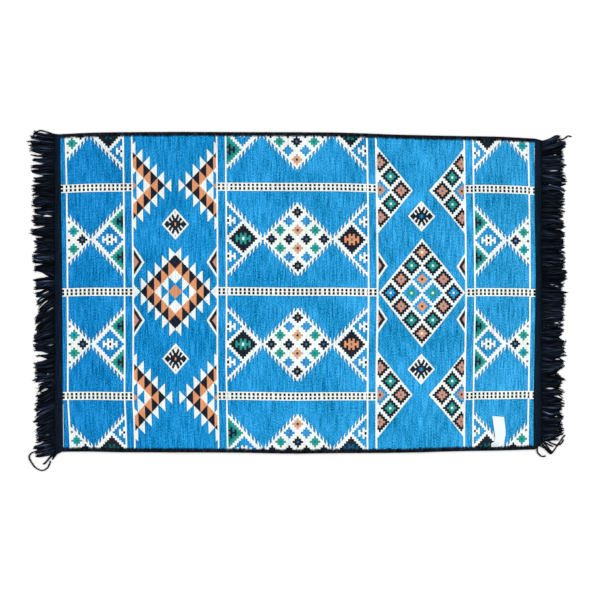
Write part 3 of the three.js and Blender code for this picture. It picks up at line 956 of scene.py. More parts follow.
@dataclass
class WovenPanel(Piece):
    """The flat-woven cloth: one closed sheet, its colours woven in pick by pick."""

    chart: Chart
    lay: Lay
    under_picks: int = 3
    split_beats: tuple[int, ...] = (0, 11, 23, 34)
    split_every: int = 48
    tone_share: tuple[float, ...] = (0, 0.12, 0.3, 0.5, 0.72, 1)
    tones: tuple[str, ...] = ("0b81c4", "0b84c5", "158dcd", "2496d3", "2597d2", "2c99d2")
    front_gain: float = 0.03
    other_share: float = 0.25
    map_margin: float = 0.004

    def shares(self) -> Array:
        """Places of the lines between picks along the length, from 0 to 1."""
        places, start = [], 0.0
        for band in BANDS.values():
            t = np.arange(band.picks) / band.picks
            keys = (0, *(place for place, _ in band.slack), 1)
            shifts = (0, *(shift for _, shift in band.slack), 0)
            places.append(start + band.width * t + smooth(keys, shifts, t))
            start += band.width
        return np.append(np.concatenate(places), start) / start

    def breaks(self, grid: Array) -> Array:
        """Finds where each pick's run of one yarn ends.

        Args:
            grid: Yarn of each beat of each pick.

        Returns:
            For each pick and each line between beats, whether a run ends there.
        """
        cut = np.zeros((grid.shape[0], BEATS + 1), bool)
        cut[:, 1:-1] = grid[:, 1:] != grid[:, :-1]
        regular = np.zeros(BEATS + 1, bool)
        regular[list(self.split_beats)] = True
        regular[:: self.split_every] = True
        return cut | regular | regular[::-1]

    def sheet(self, grid: Array, shares: Array, top: bool) -> tuple[Array, Array, list, list]:
        """Makes one side of the cloth.

        Args:
            grid: Yarn of each beat of each column of faces.
            shares: Places of the lines between the columns.
            top: Whether this is the upper side.

        Returns:
            The points with their share and v, the point numbers by line and beat, the faces, their yarns.
        """
        cut = self.breaks(grid)
        used = np.zeros((grid.shape[0] + 1, BEATS + 1), bool)
        used[:-1] |= cut
        used[1:] |= cut
        line, beat = np.nonzero(used)
        number = np.full(used.shape, -1)
        number[line, beat] = np.arange(len(line))
        share, v = shares[line], beat / BEATS * 2 - 1
        x, y = self.lay.plan(share, v, self.lay.serging_wrap + self.lay.gap)
        z = self.lay.underside(x, y, v) + (self.lay.thickness if top else 0)
        faces, yarns = [], []
        for column in range(grid.shape[0]):
            ends = np.nonzero(cut[column])[0]
            for low, high in zip(ends[:-1], ends[1:]):
                rows = []
                for side in (column, column + 1):
                    at = np.nonzero(used[side, low : high + 1])[0] + low
                    rows.append(list(zip(at.tolist(), number[side, at].tolist())))
                run = stitch(*rows) if top else stitch(*rows[::-1])
                faces += run
                yarns += [grid[column, low]] * len(run)
        return np.column_stack([x, y, z, share, v]), number, faces, yarns

    def walls(self, top: Array, under: Array) -> Faces:
        """Closes the rim between the two sides.

        Args:
            top: Numbers of the upper side's points by line and beat.
            under: The same for the underside.

        Returns:
            The faces.
        """
        faces = []
        for beat, turned in ((0, True), (BEATS, False)):
            above = [(k, int(n)) for k, n in enumerate(top[:, beat]) if n >= 0]
            below = [(k * self.under_picks, int(n)) for k, n in enumerate(under[:, beat]) if n >= 0]
            faces += stitch(below, above) if turned else stitch(above, below)
        for line, turned in ((0, False), (-1, True)):
            above = [(k, int(n)) for k, n in enumerate(top[line]) if n >= 0]
            below = [(k, int(n)) for k, n in enumerate(under[line]) if n >= 0]
            faces += stitch(below, above) if turned else stitch(above, below)
        return faces

    def draft(self) -> Draft:
        """Drafts the panel.

        Returns:
            Its mesh.
        """
        grid, shares = self.chart.grid, self.shares()
        upper, top, top_faces, top_yarns = self.sheet(grid, shares, True)
        middle = self.under_picks // 2
        lower, under, low_faces, low_yarns = self.sheet(
            grid[middle :: self.under_picks], shares[:: self.under_picks], False
        )
        under = np.where(under >= 0, under + len(upper), -1)
        low_faces = [tuple(n + len(upper) for n in face) for face in low_faces]
        rim = self.walls(top, under)
        points = np.vstack([upper, lower])
        faces = top_faces + low_faces + rim
        rim_yarns = [YARNS.index(Yarn.AZURE)] * len(rim)
        sizes = np.array([len(face) for face in faces])
        kind = np.repeat(np.repeat([0, 1, 2], [len(top_faces), len(low_faces), len(rim)]), sizes)
        corners = corners_of(faces)
        yarns = np.repeat(np.array(top_yarns + low_yarns + rim_yarns), sizes)
        share, v = points[corners, 3], points[corners, 4]
        return Draft(
            "woven_panel_cloth",
            points[:, :3],
            faces,
            maps={
                "OFBake": self.bake_map(share, v, kind, corners >= len(upper)),
                "Weave": np.column_stack([share * self.chart.picks, (v + 1) / 2 * BEATS / 2]),
            },
            colours={"Yarn": self.colours(yarns, share, v)},
            flat=np.arange(len(faces)) >= len(faces) - len(rim),
        )

    def bake_map(self, share: Array, v: Array, kind: Array, low: Array) -> Array:
        """Lays the faces out flat: the upper side in the upper half, the underside below it.

        Args:
            share: Place of each corner along the length.
            v: Place of each corner across the rug.
            kind: 0 for the upper side, 1 for the underside, 2 for the rim.
            low: Whether the corner is on the underside.

        Returns:
            The map.
        """
        margin, hair = self.map_margin, 1e-6
        u = margin + (1 - 2 * margin) * share
        half = margin + (0.5 - 2 * margin) * (v + 1) / 2
        w = np.where(kind == 1, half, half + 0.5)
        rim = (kind == 2) & low
        u = u + margin / 2 * np.where(rim & (share < hair), -1, rim & (share > 1 - hair))
        w = w + margin / 2 * np.where(rim & (v < -1 + hair), -1, rim & (v > 1 - hair))
        return np.column_stack([u, w])

    def colours(self, yarns: Array, share: Array, v: Array) -> Array:
        """Colours the corners, with how strongly the dye varies as their alpha.

        Args:
            yarns: Yarn of each corner.
            share: Its place along the length.
            v: Its place across the rug.

        Returns:
            The colours.
        """
        blues = (Yarn.AZURE, Yarn.SLIT_SHADE)
        table = np.array([(*linear(yarn.value), 1.0 if yarn in blues else 0.35) for yarn in YARNS])
        is_blue = np.array([yarn in blues for yarn in YARNS])[yarns]
        keys = np.array([linear(code) for code in self.tones]) / linear(Yarn.AZURE.value)
        gain = np.column_stack([np.interp(share, self.tone_share, keys[:, c]) for c in range(3)])
        gain = np.where(is_blue[:, None], gain, 1 + (gain[:, 2:] - 1) * self.other_share)
        x = self.lay.plan(share, v, 0)[0]
        # Painted light and shade of the creases: darker along the valley, lighter along the ridges; then
        # the whole a little brighter towards the front.
        painted_light = np.ones_like(x)
        for crease in self.lay.creases:
            painted_light += crease.tone * np.exp(-(((x - crease.x) / crease.painted_light) ** 2))
        painted_light *= 1 - self.front_gain * v
        colours = table[yarns]
        colours[:, :3] *= gain * painted_light[:, None]
        return colours


@dataclass(frozen=True)
class Overcast(Piece):
    """Yarn wrapped round a long edge of the cloth, stitch by stitch."""

    lay: Lay
    side: Side
    reach: float = 11.6
    round: float = 2
    pitch: float = 3.6
    bulge: float = 0.5
    slant: float = 0.5
    steps: int = 6
    retreat: float = 5
    notch_power: float = 1.3
    ridge_power: float = 0.7
    length_spread: float = 0.75
    swell_spread: float = 0.15
    tone_spread: float = 0.45
    outer_points: int = 9
    upper_from: int = 5
    cap: tuple[tuple[int, ...], ...] = (
        (0, 1, 12), (1, 2, 11, 12), (2, 3, 11), (3, 4, 10, 11),
        (4, 5, 10), (5, 6, 10), (6, 7, 9, 10), (7, 8, 9),
    )

    def profile(self) -> Array:
        """Outline of the wrapped yarn across the edge: how far inward and how far up."""
        wrap, gap, turn, reach = self.lay.serging_wrap, self.lay.gap, self.round, self.reach
        inner = wrap + 2 * gap + self.lay.thickness
        top = inner + wrap
        outside = [(reach, 0), (turn, 0), (turn * 0.3, turn * 0.35), (0, turn), (0, top - turn)]
        outside += [(turn * 0.3, top - turn * 0.35), (turn, top), (reach * 0.55, top), (reach, top - 0.3)]
        return np.array([*outside, (reach, inner), (wrap, inner), (wrap, wrap), (reach, wrap)])

    def draft(self) -> Draft:
        """Drafts the overcast edge.

        Returns:
            Its mesh.
        """
        draw = np.random.default_rng(41 if self.side is Side.BACK else 42)
        v = float(self.side.out)
        left = float(self.lay.woven_end(np.array([v]), Side.LEFT)[0])
        right = float(self.lay.woven_end(np.array([v]), Side.RIGHT)[0])
        stitches = round((right - left) / self.pitch)
        count = stitches * self.steps + 1
        x = np.linspace(left, right, count)
        y = self.lay.long_edge(x, self.side)
        lift = self.lay.crease_lift(x)
        profile = self.profile()
        turn = np.arange(count) / self.steps
        whole = np.minimum(turn.astype(int), stitches - 1)
        length = draw.normal(0, self.length_spread, stitches)[whole]
        swell = 1 + draw.normal(0, self.swell_spread, stitches)[whole]
        tone = np.exp(draw.normal(0, self.tone_spread, stitches))[whole]
        notch = self.retreat * (1 - np.abs(np.sin(np.pi * turn)) ** self.notch_power)
        out = []
        for k, (inward, up) in enumerate(profile):
            away, rise = inward + (inward >= self.reach) * (length - notch), up + lift
            if k < self.outer_points:
                phase = turn + self.slant * (up / profile[:, 1].max())
                ridge = np.abs(np.sin(np.pi * phase)) ** self.ridge_power * self.bulge * swell
                if k >= self.upper_from:
                    rise = rise + ridge * 0.6
                elif up > 0:
                    away = away - ridge * 0.8
            out.append(np.column_stack([x, y - v * away, np.maximum(rise, 0)]))
        points = np.stack(out, axis=1)
        size = len(profile)
        faces = []
        for i in range(count - 1):
            for k in range(size):
                a, b = i * size + k, i * size + (k + 1) % size
                faces.append((a, b, b + size, a + size) if v > 0 else (a, a + size, b + size, b))
        last = (count - 1) * size
        for face in self.cap:
            first = face[::-1] if v > 0 else face
            faces += [first, tuple(last + n for n in first[::-1])]
        along = np.repeat(turn, size)
        round_share = np.tile(np.arange(size) / size, count)
        corners = corners_of(faces)
        return Draft(
            f"overcast_edge_{self.side.name.lower()}",
            points.reshape(-1, 3),
            faces,
            maps={"Twist": np.column_stack([round_share[corners] * 4, along[corners]])},
            colours={"Tone": grey(np.repeat(tone, size)[corners])},
        )


@dataclass(frozen=True)
class HeadingTape(Piece):
    """The dark woven tape along an end, from which the fringe hangs. Its lip lies on the cloth."""

    lay: Lay
    side: Side
    outer_x: dict[Side, float] = field(default_factory=lambda: {Side.LEFT: -616.0, Side.RIGHT: 609.0})
    corners: dict[Side, tuple[float, float]] = field(
        default_factory=lambda: {Side.LEFT: (-409.5, 396.0), Side.RIGHT: (-375.5, 378.5)}
    )
    on_cloth: tuple[float, ...] = (-1.0, -0.92, -0.6, -0.1)
    lip_v: tuple[float, ...] = (-1, -0.75, -0.4, -0.1, 0.2, 0.5, 0.8, 1)
    lips: dict[Side, tuple[float, ...]] = field(
        default_factory=lambda: {
            Side.LEFT: (1.2, 0.8, 1.1, 1.1, 1.3, 0.7, 0.4, 0.4),
            Side.RIGHT: (4.6, 5.0, 3.8, 2.3, 1.5, 3.7, 3.6, 2.5),
        }
    )
    thickness: float = 3
    lip_thickness: float = 0.8
    rest: float = 0.15
    rest_under: float = 0.12
    ribs: int = 5
    rib_height: float = 0.4
    tones: tuple[tuple[float, float, float, float], ...] = (
        (0.62, 0.85, 0.88, 1),
        (0.6, 0.7, 0.88, 1),
        (0.4, 0.55, 0.62, 1),
        (0.45, 0.65, 0.6, 1),
        (0.35, 0.42, 0.48, 1),
    )
    across: int = 30
    along: int = 220
    threads: tuple[float, float] = (0.5, 2)

    def draft(self) -> Draft:
        """Drafts the tape.

        Returns:
            Its mesh.
        """
        v = np.linspace(-1, 1, self.along + 1)[:, None]
        share = np.full_like(v, 0.0 if self.side is Side.LEFT else 1.0)
        inner_x, inner_y = self.lay.plan(share, v, 0)
        front, back = self.corners[self.side]
        outer_y = front + (back - front) * (v + 1) / 2
        lip = smooth(self.lip_v, self.lips[self.side], v)
        t = np.concatenate([np.zeros(len(self.on_cloth)), np.linspace(0, 1, self.across + 1)])[None, :]
        lips = np.concatenate([self.on_cloth, np.zeros(self.across + 1)])[None, :]
        start = inner_x + self.side.out * self.lay.gap * (lips == 0)
        x = start + (self.outer_x[self.side] - start) * t + self.side.out * lips * lip
        y = inner_y + (outer_y - inner_y) * t + 0 * lips
        cloth = self.lay.underside(x, y, v) + self.lay.thickness
        rim = np.minimum(t, 1 - t) * 2
        rib = self.rib_height * np.abs(np.sin(np.pi * self.ribs * t)) ** 0.8
        flat = self.thickness * (0.6 + 0.4 * np.minimum(rim * 4, 1) ** 0.5) - 0.35 + rib
        lifted = cloth + self.rest + self.lip_thickness * np.minimum(1 + lips, 0.5) * 2
        settle = np.clip(t * 6, 0, 1)
        joint = cloth + self.rest + self.lip_thickness
        top = np.where(lips < 0, lifted, joint * (1 - settle) + flat * settle)
        low = np.where(lips < 0, cloth + self.rest_under, 0)
        stripe = np.minimum((t[0] * self.ribs).astype(int), self.ribs - 1)
        tones = np.tile(np.array(self.tones)[stripe], (len(v), 1))
        sides = tuple(np.stack([x, y, z], axis=2) for z in (top, low))
        name = f"heading_tape_{self.side.name.lower()}"
        return slab(name, sides, tones, self.threads, self.side is Side.LEFT)


@dataclass(frozen=True)
class Lock:
    """A lock of the fringe: where it is rooted, where its tips lie and how far they reach."""

    root: float
    tip_from: float
    tip_to: float
    reach: float


@dataclass(frozen=True)
class Parting:
    """A gap between the strands of the fringe: its middle, its half length and its half width."""

    x: float
    y: float
    half_length: float
    half_width: float


def locks(*rows: tuple[float, float, float, float]) -> tuple[Lock, ...]:
    """Lists the locks of a fringe from back to front, each as root, first tip, last tip and reach."""
    return tuple(Lock(*row) for row in rows)


def partings(*rows: tuple[float, float, float, float]) -> tuple[Parting, ...]:
    """Lists the partings of a fringe, each as x, y, half length and half width."""
    return tuple(Parting(*row) for row in rows)


LEFT_LOCKS = locks(
    (384.2, 398.2, 391.8, 48.8),
    (373.0, 389.8, 381.2, 53.8),
    (341.8, 375.5, 353.0, 56.8),
    (337.2, 344.2, 341.0, 55.0),
    (322.2, 334.2, 325.5, 52.5),
    (307.8, 317.8, 309.2, 53.8),
    (291.8, 305.5, 296.0, 53.2),
    (276.8, 286.8, 273.0, 48.8),
    (239.2, 269.2, 241.8, 50.8),
    (214.2, 239.2, 213.0, 50.8),
    (190.5, 209.2, 196.8, 47.5),
    (164.8, 193.0, 169.2, 51.2),
    (139.2, 159.2, 141.8, 52.5),
    (99.2, 136.8, 99.2, 45.0),
    (69.2, 95.5, 74.2, 52.5),
    (37.2, 68.0, 53.0, 46.2),
    (11.8, 34.2, 4.2, 45.0),
    (1.8, -0.8, -15.8, 45.0),
    (-8.2, -20.8, -35.8, 41.2),
    (-28.2, -39.5, -53.2, 36.2),
    (-48.2, -63.2, -82.0, 46.2),
    (-75.8, -87.0, -102.0, 41.2),
    (-120.8, -107.0, -127.8, 47.5),
    (-153.2, -130.8, -148.2, 46.2),
    (-164.5, -157.2, -163.2, 43.0),
    (-222.0, -175.2, -225.8, 46.2),
    (-238.2, -229.5, -252.0, 38.8),
    (-270.8, -257.0, -290.8, 41.2),
    (-320.8, -293.2, -338.2, 43.8),
    (-365.8, -340.8, -377.0, 41.2),
    (-385.8, -384.5, -394.5, 47.5),
    (-404.8, -400.8, -413.2, 43.8),
)
RIGHT_LOCKS = locks(
    (364.2, 393.2, 380.5, 43.2),
    (349.2, 378.8, 359.2, 55.8),
    (329.2, 354.8, 330.5, 50.2),
    (289.2, 327.2, 289.2, 52.8),
    (269.2, 286.8, 269.2, 58.2),
    (216.8, 263.0, 216.8, 52.8),
    (184.2, 214.2, 186.8, 50.2),
    (159.2, 180.5, 159.2, 52.8),
    (139.2, 150.5, 138.0, 54.0),
    (104.2, 134.8, 106.8, 52.0),
    (59.2, 101.8, 59.2, 54.5),
    (24.2, 55.5, 26.8, 58.2),
    (6.8, 23.0, 8.2, 49.0),
    (-35.8, 1.8, -33.2, 55.2),
    (-75.2, -37.0, -73.2, 52.0),
    (-110.8, -80.8, -108.2, 48.2),
    (-135.8, -117.8, -133.2, 54.5),
    (-163.2, -135.8, -160.8, 54.5),
    (-202.2, -169.5, -189.5, 52.0),
    (-239.2, -208.2, -236.8, 47.0),
    (-258.2, -243.2, -256.8, 50.2),
    (-295.8, -263.2, -298.2, 48.2),
    (-333.2, -303.2, -335.8, 49.0),
    (-360.8, -338.2, -357.0, 50.2),
    (-370.8, -360.8, -370.0, 34.5),
)
# Loose yarn ends: the places x, y that each one runs through
LEFT_LOOSE_ENDS = (
    (
        (-618, 396), (-632, 400.5), (-645, 404), (-655, 402), (-661, 398), (-664, 392), (-669.5, 385.5),
    ),
    ((-640, 393), (-655, 390), (-664, 386.5), (-673, 391.5)),
    ((-628, 391), (-642, 392.5), (-653, 394), (-659, 397), (-661, 402.5)),
    ((-640, 396), (-652, 397), (-660, 399.5), (-663, 404)),
    (
        (-612, -390.5), (-632, -393.5), (-655, -396.5), (-670, -402.5), (-676, -411), (-671.5, -423),
        (-662, -436), (-650, -444), (-638, -444.5), (-628.5, -437), (-622, -421.5),
    ),
    ((-612, -406), (-621, -411.5), (-630, -420.5), (-638, -430)),
    ((-616, -404), (-625, -414), (-634, -424), (-641, -430)),
    ((-606, -402), (-611.5, -409), (-616.5, -416)),
    ((-610, -403), (-614, -410), (-617.5, -418.5)),
)
RIGHT_LOOSE_ENDS = (
    ((605, 369.5), (628, 376.5), (648, 380), (661, 383.5), (671, 390.5), (680, 388.5)),
    ((606, -366), (622, -373), (636, -380), (647, -381.5), (655, -377), (660, -368)),
    ((594, -386), (594.5, -399), (600, -406.5), (607, -410.5), (615, -409)),
    (
        (598, -382), (610, -388), (619, -396), (627.5, -403.5), (634.5, -397.5), (643, -384.5),
        (649.5, -375), (657, -364), (664, -357),
    ),
    ((604, -372), (617, -377.5), (627, -383), (634, -385.5)),
    ((604, -378), (612, -385), (621, -394), (628.5, -402)),
    ((608, -374), (616, -382), (624, -392), (630, -400)),
)
LEFT_PARTINGS = partings(
    (-619, 218.8, 5, 0.8),
    (-630, 191, 16, 2.4),
    (-655, 163, 34, 1.4),
    (-644, 45.2, 30, 4.2),
    (-646, 4.2, 13, 1.0),
    (-639, -2.2, 17, 1.6),
    (-646, -19.5, 10, 1.8),
    (-642, -30.8, 18, 2.2),
    (-624, -42.8, 14, 2.4),
    (-637, -67, 7, 2.0),
    (-620, -131, 12, 1.3),
    (-635, -152.8, 26, 2.2),
    (-642, -167.5, 22, 2.4),
    (-629, -204.5, 4, 0.8),
    (-637, -243.2, 17, 2.8),
    (-630, -355.8, 8, 1.0),
)
RIGHT_PARTINGS = partings(
    (639, 343.8, 4, 0.8),
    (636, 304.2, 13, 1.2),
    (626, 269.2, 6, 1.0),
    (659, 274, 8, 1.4),
    (642, 157.2, 10, 0.8),
    (639, 85.5, 5, 0.8),
    (655, 82.5, 7, 1.0),
    (627, 68.8, 5, 0.7),
    (632, 19.8, 6, 1.0),
    (642, 14.2, 6, 1.2),
    (645, -76.2, 10, 1.8),
    (646, -166.8, 8, 1.6),
    (646, -199.5, 18, 2.0),
    (626, -240.2, 14, 2.0),
    (644, -259.8, 13, 1.5),
    (642, -310.2, 5, 2.2),
    (642, -332, 4, 1.0),
    (646, -344.5, 4, 0.9),
)


@dataclass(frozen=True)
class Strand:
    """A strand of the fringe: its root, its tip, how far it reaches, and its room at both ends."""

    root: float
    tip: float
    reach: float
    root_width: float
    tip_width: float


@dataclass(frozen=True)
class Fringe(Piece):
    """The yarn fringe at an end of the rug."""

    side: Side
    edge_x: float
    first_root: float
    locks: tuple[Lock, ...]
    loose_ends: tuple[tuple[tuple[float, float], ...], ...]
    partings: tuple[Parting, ...]
    open_from: float
    strand_pitch: float = 6.8
    uneven: float = 3.2
    shy: float = 1.5
    buried: float = 4
    sway: float = 1.5
    fan: float = 1.25
    root_lift: float = 1.2
    yarns: int = 4
    under_pitch: float = 2.3
    under_radius: float = 1.45
    under_painted_shade: float = 0.5
    steps: int = 12
    sides: int = 5
    thinnest: float = 0.8
    thickest: float = 1.3
    tip_from: float = 0.84
    strays: float = 0.08
    painted_highlight_strands: float = 0.06
    loose_radius: float = 1.2
    loose_yarns: int = 3
    loose_turn: float = 9
    wisps: int = 3
    wisp_radii: tuple[float, float] = (0.42, 0.22)
    wisp_points: int = 4
    tone: float = 0.9

    def strands(self) -> list[Strand]:
        """Lists the strands from back to front."""
        strands = []
        start = self.first_root
        for lock in self.locks:
            count = max(1, round((start - lock.root) / self.strand_pitch))
            root_width, tip_width = (start - lock.root) / count, (lock.tip_from - lock.tip_to) / count
            for i in range(count):
                number = len(strands)
                reach = lock.reach + self.uneven * math.sin(2.4 * number + 1.7 * math.sin(number))
                root, tip = start - root_width * (i + 0.5), lock.tip_from - tip_width * (i + 0.5)
                strands.append(Strand(root, tip, reach, root_width, tip_width))
            start = lock.root
        return strands

    def course(self, y: Array, length: float) -> tuple[Array, Array]:
        """Lays a yarn on the plan, with the sway that it shares with its neighbours.

        Args:
            y: Where it would lie without the sway, from root to tip.
            length: How far it reaches.

        Returns:
            The x and y of its middle line.
        """
        t = np.linspace(0, 1, self.steps + 1)
        x = self.edge_x + self.side.out * (-self.buried + (length + self.buried) * t)
        return x, y + self.sway * t * np.sin(x * 0.13 + 1.6 * np.sin(y / 19) + y / 23)

    def under_layer(self, draw: Generator) -> tuple[list, list, list]:
        """Draws the close layer of yarns next to the floor, which fills each lock, darkened as painted
        shade under the strands above.

        Args:
            draw: Where chance comes from.

        Returns:
            Points of the yarns, with their radii and tones.
        """
        t = np.linspace(0, 1, self.steps + 1)
        spread = t**self.fan
        open_by = ease(np.clip((t - self.open_from) / (1 - self.open_from), 0, 1))
        inset = 2.1 * open_by - 0.8
        thinned = 1 - 0.6 * np.clip((t - 0.85) / 0.15, 0, 1)
        lines, radii, tones = [], [], []
        start = self.first_root
        for number, lock in enumerate(self.locks):
            above = self.locks[number - 1].tip_to if number else lock.tip_from
            below = self.locks[number + 1].tip_from if number < len(self.locks) - 1 else lock.tip_to
            meet_above, meet_below = (above + lock.tip_from) / 2, (below + lock.tip_to) / 2
            upper = start + (meet_above - start) * spread + (lock.tip_from - meet_above) * open_by
            lower = lock.root + (meet_below - lock.root) * spread + (lock.tip_to - meet_below) * open_by
            room = np.minimum(inset, (upper - lower) * 0.4)
            widest = max(start - lock.root, lock.tip_from - lock.tip_to)
            count = max(2, round(widest / self.under_pitch))
            for i in range(count):
                reach = lock.reach - self.shy + 2 * math.sin(1.9 * i + number) + draw.normal(0, 1.8)
                x, y = self.course(upper - room + (lower - upper + 2 * room) * i / (count - 1), reach)
                radius = self.under_radius * draw.uniform(0.85, 1.1) * thinned
                z = radius + draw.uniform(0, 0.4) + self.root_lift * (1 - t) ** 3
                lines.append(np.column_stack([x, y, z]))
                radii.append(radius)
                # Painted shade: the yarns under the strands are darker.
                tones.append(np.full_like(t, self.under_painted_shade * self.tone * math.exp(draw.normal(0, 0.6))))
            start = lock.root
        return lines, radii, tones

    def paths(self, draw: Generator) -> Bundle:
        """Draws the middle line of every yarn.

        Args:
            draw: Where chance comes from.

        Returns:
            Points of the yarns, with their radii and tones.
        """
        t = np.linspace(0, 1, self.steps + 1)
        late = ease(np.clip((t - self.tip_from) / 0.16, 0, 1))
        contrast = 0.55 + 0.45 * np.minimum(t / 0.35, 1)
        lines, radii, tones = self.under_layer(draw)
        for strand in self.strands():
            stray = draw.random() < self.strays
            tip = strand.tip + draw.normal(0, 0.2 + 0.8 * stray) * strand.tip_width
            reach = strand.reach - self.shy + draw.normal(0, 2) + 2.5 * stray
            wander = draw.uniform(0.2, 0.9)
            own = wander * np.sin(2 * np.pi * (draw.uniform(0.8, 1.6) * t + draw.uniform())) * t
            width = strand.root_width + (max(strand.tip_width, 3.2) - strand.root_width) * t
            width = width * (1 - 0.5 * late)
            # Painted highlight: a few strands are made much paler, as strands that catch the light.
            shade = draw.normal(0, 0.35) + (0.7 if draw.random() < self.painted_highlight_strands else 0)
            layer = draw.uniform(0, 1.3) + 1.5 * stray
            spin, first = draw.uniform(-1, 1), draw.uniform()
            for k in range(self.yarns):
                turn = 2 * np.pi * (k / self.yarns + first + spin * t)
                straight = strand.root + (tip - strand.root) * t**self.fan
                x, y = self.course(straight, reach + draw.normal(0, 1.7))
                y = y + 0.36 * width * np.sin(turn) + own
                radius = np.clip(width * 0.22, self.thinnest, self.thickest)
                radius = radius * draw.uniform(0.85, 1.1) * (1 - 0.4 * late)
                height = layer * np.sin(np.pi * np.minimum(t * 1.2, 1))
                height = height + 0.6 * (1 + np.cos(turn)) * (1 - late)
                z = 1.6 * (1 - late) + radius + height + self.root_lift * (1 - t) ** 3
                lines.append(np.column_stack([x, y, z]))
                radii.append(radius)
                # Painted light: a yarn is lighter on top of its strand and darker at its sides, with
                # painted highlights in short stretches along it.
                light = 0.5 * np.cos(turn) + 0.4 * np.sin(2 * np.pi * (1.4 * t + draw.uniform()))
                tones.append(self.tone * np.exp(contrast * (shade + (light + draw.normal(0, 0.85)))))
        lines = np.array(lines)
        self.part(lines)
        return lines, np.array(radii), np.array(tones)

    def part(self, lines: Array) -> None:
        """Pushes the yarns aside where the strands part.

        Args:
            lines: Points of each yarn, which are moved.
        """
        for gap in self.partings:
            along = lines[:, :, 0] - gap.x
            shape = np.clip(1 - (along / gap.half_length) ** 2, 0, 1)
            away = lines[np.arange(len(lines)), np.abs(along).argmin(axis=1), 1] - gap.y
            push = (gap.half_width + self.thickest * 0.5) * np.exp(-np.abs(away) / 6)
            lines[:, :, 1] += shape * (push * np.where(away > 0, 1, -1))[:, None]

    def wisp_paths(self, lines: Array, draw: Generator) -> Bundle:
        """Draws the fine fibres that stand off the tips.

        Args:
            lines: Middle lines of the yarns.
            draw: Where chance comes from.

        Returns:
            The points of each fibre, with its radius and its tone at them.
        """
        t = np.linspace(0, 1, self.wisp_points)
        wisps = []
        for line in lines[:: self.yarns // self.wisps + 1]:
            root = line[-2] + (line[-1] - line[-2]) * draw.uniform(-0.6, 0.8)
            angle, length = draw.normal(0, 0.7), draw.uniform(2.5, 6.5)
            bend = draw.normal(0, 0.6)
            x = root[0] + self.side.out * length * t * math.cos(angle)
            y = root[1] + length * (t * math.sin(angle) + bend * t * t)
            wisps.append(np.column_stack([x, y, np.full_like(t, root[2])]))
        radius = np.linspace(*self.wisp_radii, self.wisp_points)
        return np.array(wisps), np.tile(radius, (len(wisps), 1)), np.ones((len(wisps), self.wisp_points))

    def sweep(self, lines: Array, radii: Array, base: int) -> tuple[Array, Faces, Array]:
        """Makes round yarns along their middle lines.

        Args:
            lines: Points of each yarn.
            radii: Radius of each yarn at its points.
            base: Number of the first new point.

        Returns:
            The points, the faces and the twist map of their corners.
        """
        along = np.gradient(lines, axis=1)
        along /= np.linalg.norm(along, axis=2, keepdims=True)
        across = np.cross(np.array([0.0, 0.0, 1.0]), along)
        across /= np.linalg.norm(across, axis=2, keepdims=True)
        up = np.cross(along, across)
        angle = (2 * np.pi * np.arange(self.sides) / self.sides)[:, None]
        ring = across[:, :, None] * np.cos(angle) + up[:, :, None] * np.sin(angle)
        points = lines[:, :, None] + ring * radii[:, :, None, None]
        points[..., 2] = np.maximum(points[..., 2], 0)
        yarns, stations = lines.shape[:2]
        size = self.sides
        lengths = np.linalg.norm(np.diff(lines, axis=1), axis=2)
        travelled = np.column_stack([np.zeros(yarns), np.cumsum(lengths, axis=1)])
        faces, turns = [], []
        for yarn in range(yarns):
            start = base + yarn * stations * size
            for i in range(stations - 1):
                low, high = travelled[yarn, i], travelled[yarn, i + 1]
                for k in range(size):
                    a, b = start + i * size + k, start + i * size + (k + 1) % size
                    faces.append((a, a + size, b + size, b))
                    here, there = k / size, (k + 1) / size
                    turns += [(here, low), (here, high), (there, high), (there, low)]
            faces.append(tuple(start + k for k in range(size)))
            turns += [(0.5, 0.0)] * size
            tail = start + (stations - 1) * size
            faces.append(tuple(tail + k for k in range(size - 1, -1, -1)))
            turns += [(0.5, travelled[yarn, -1])] * size
        return points.reshape(-1, 3), faces, np.array(turns)

    def loose_lines(self) -> list[Array]:
        """Draws the middle lines of the yarn ends that have worked loose."""
        lines = []
        for knots in self.loose_ends:
            knots = np.array(knots, float)
            last = len(knots) - 1
            at = np.linspace(0, last, last * 4 + 1)
            i = np.minimum(at.astype(int), last - 1)
            t = (at - i)[:, None]
            p0, p1 = knots[np.maximum(i - 1, 0)], knots[i]
            p2, p3 = knots[i + 1], knots[np.minimum(i + 2, last)]
            v0, v1 = (p2 - p0) / 2, (p3 - p1) / 2
            cubic, square = 2 * p1 - 2 * p2 + v0 + v1, -3 * p1 + 3 * p2 - 2 * v0 - v1
            flat = cubic * t**3 + square * t**2 + v0 * t + p1
            lift = self.loose_radius + 1.6 * np.maximum(1 - at / last * 2.5, 0)
            lines.append(np.column_stack([flat, lift]))
        return lines

    def loose_bundle(self, line: Array, draw: Generator) -> Bundle:
        """Makes a loose end of yarns that wind round each other.

        Args:
            line: Its middle line.
            draw: Where chance comes from.

        Returns:
            Points of the yarns, with their radii and tones.
        """
        t = np.linspace(0, 1, len(line))
        along = np.gradient(line[:, :2], axis=0)
        along /= np.linalg.norm(along, axis=1, keepdims=True)
        aside = np.column_stack([-along[:, 1], along[:, 0]])
        turns = len(line) / self.loose_turn
        lines = []
        for k in range(self.loose_yarns):
            phase = 2 * np.pi * (turns * t + k / self.loose_yarns) + draw.uniform(0, 0.5)
            off = (0.95 + 0.35 * np.sin(2 * np.pi * (2 * t + draw.uniform()))) * np.sin(phase)
            flat = line[:, :2] + aside * off[:, None]
            lines.append(np.column_stack([flat, line[:, 2] + 0.5 + 0.5 * np.cos(phase)]))
        radii = np.tile(self.loose_radius * (1.05 - 0.25 * t**3), (len(lines), 1))
        return np.array(lines), radii, np.full(radii.shape, self.tone)

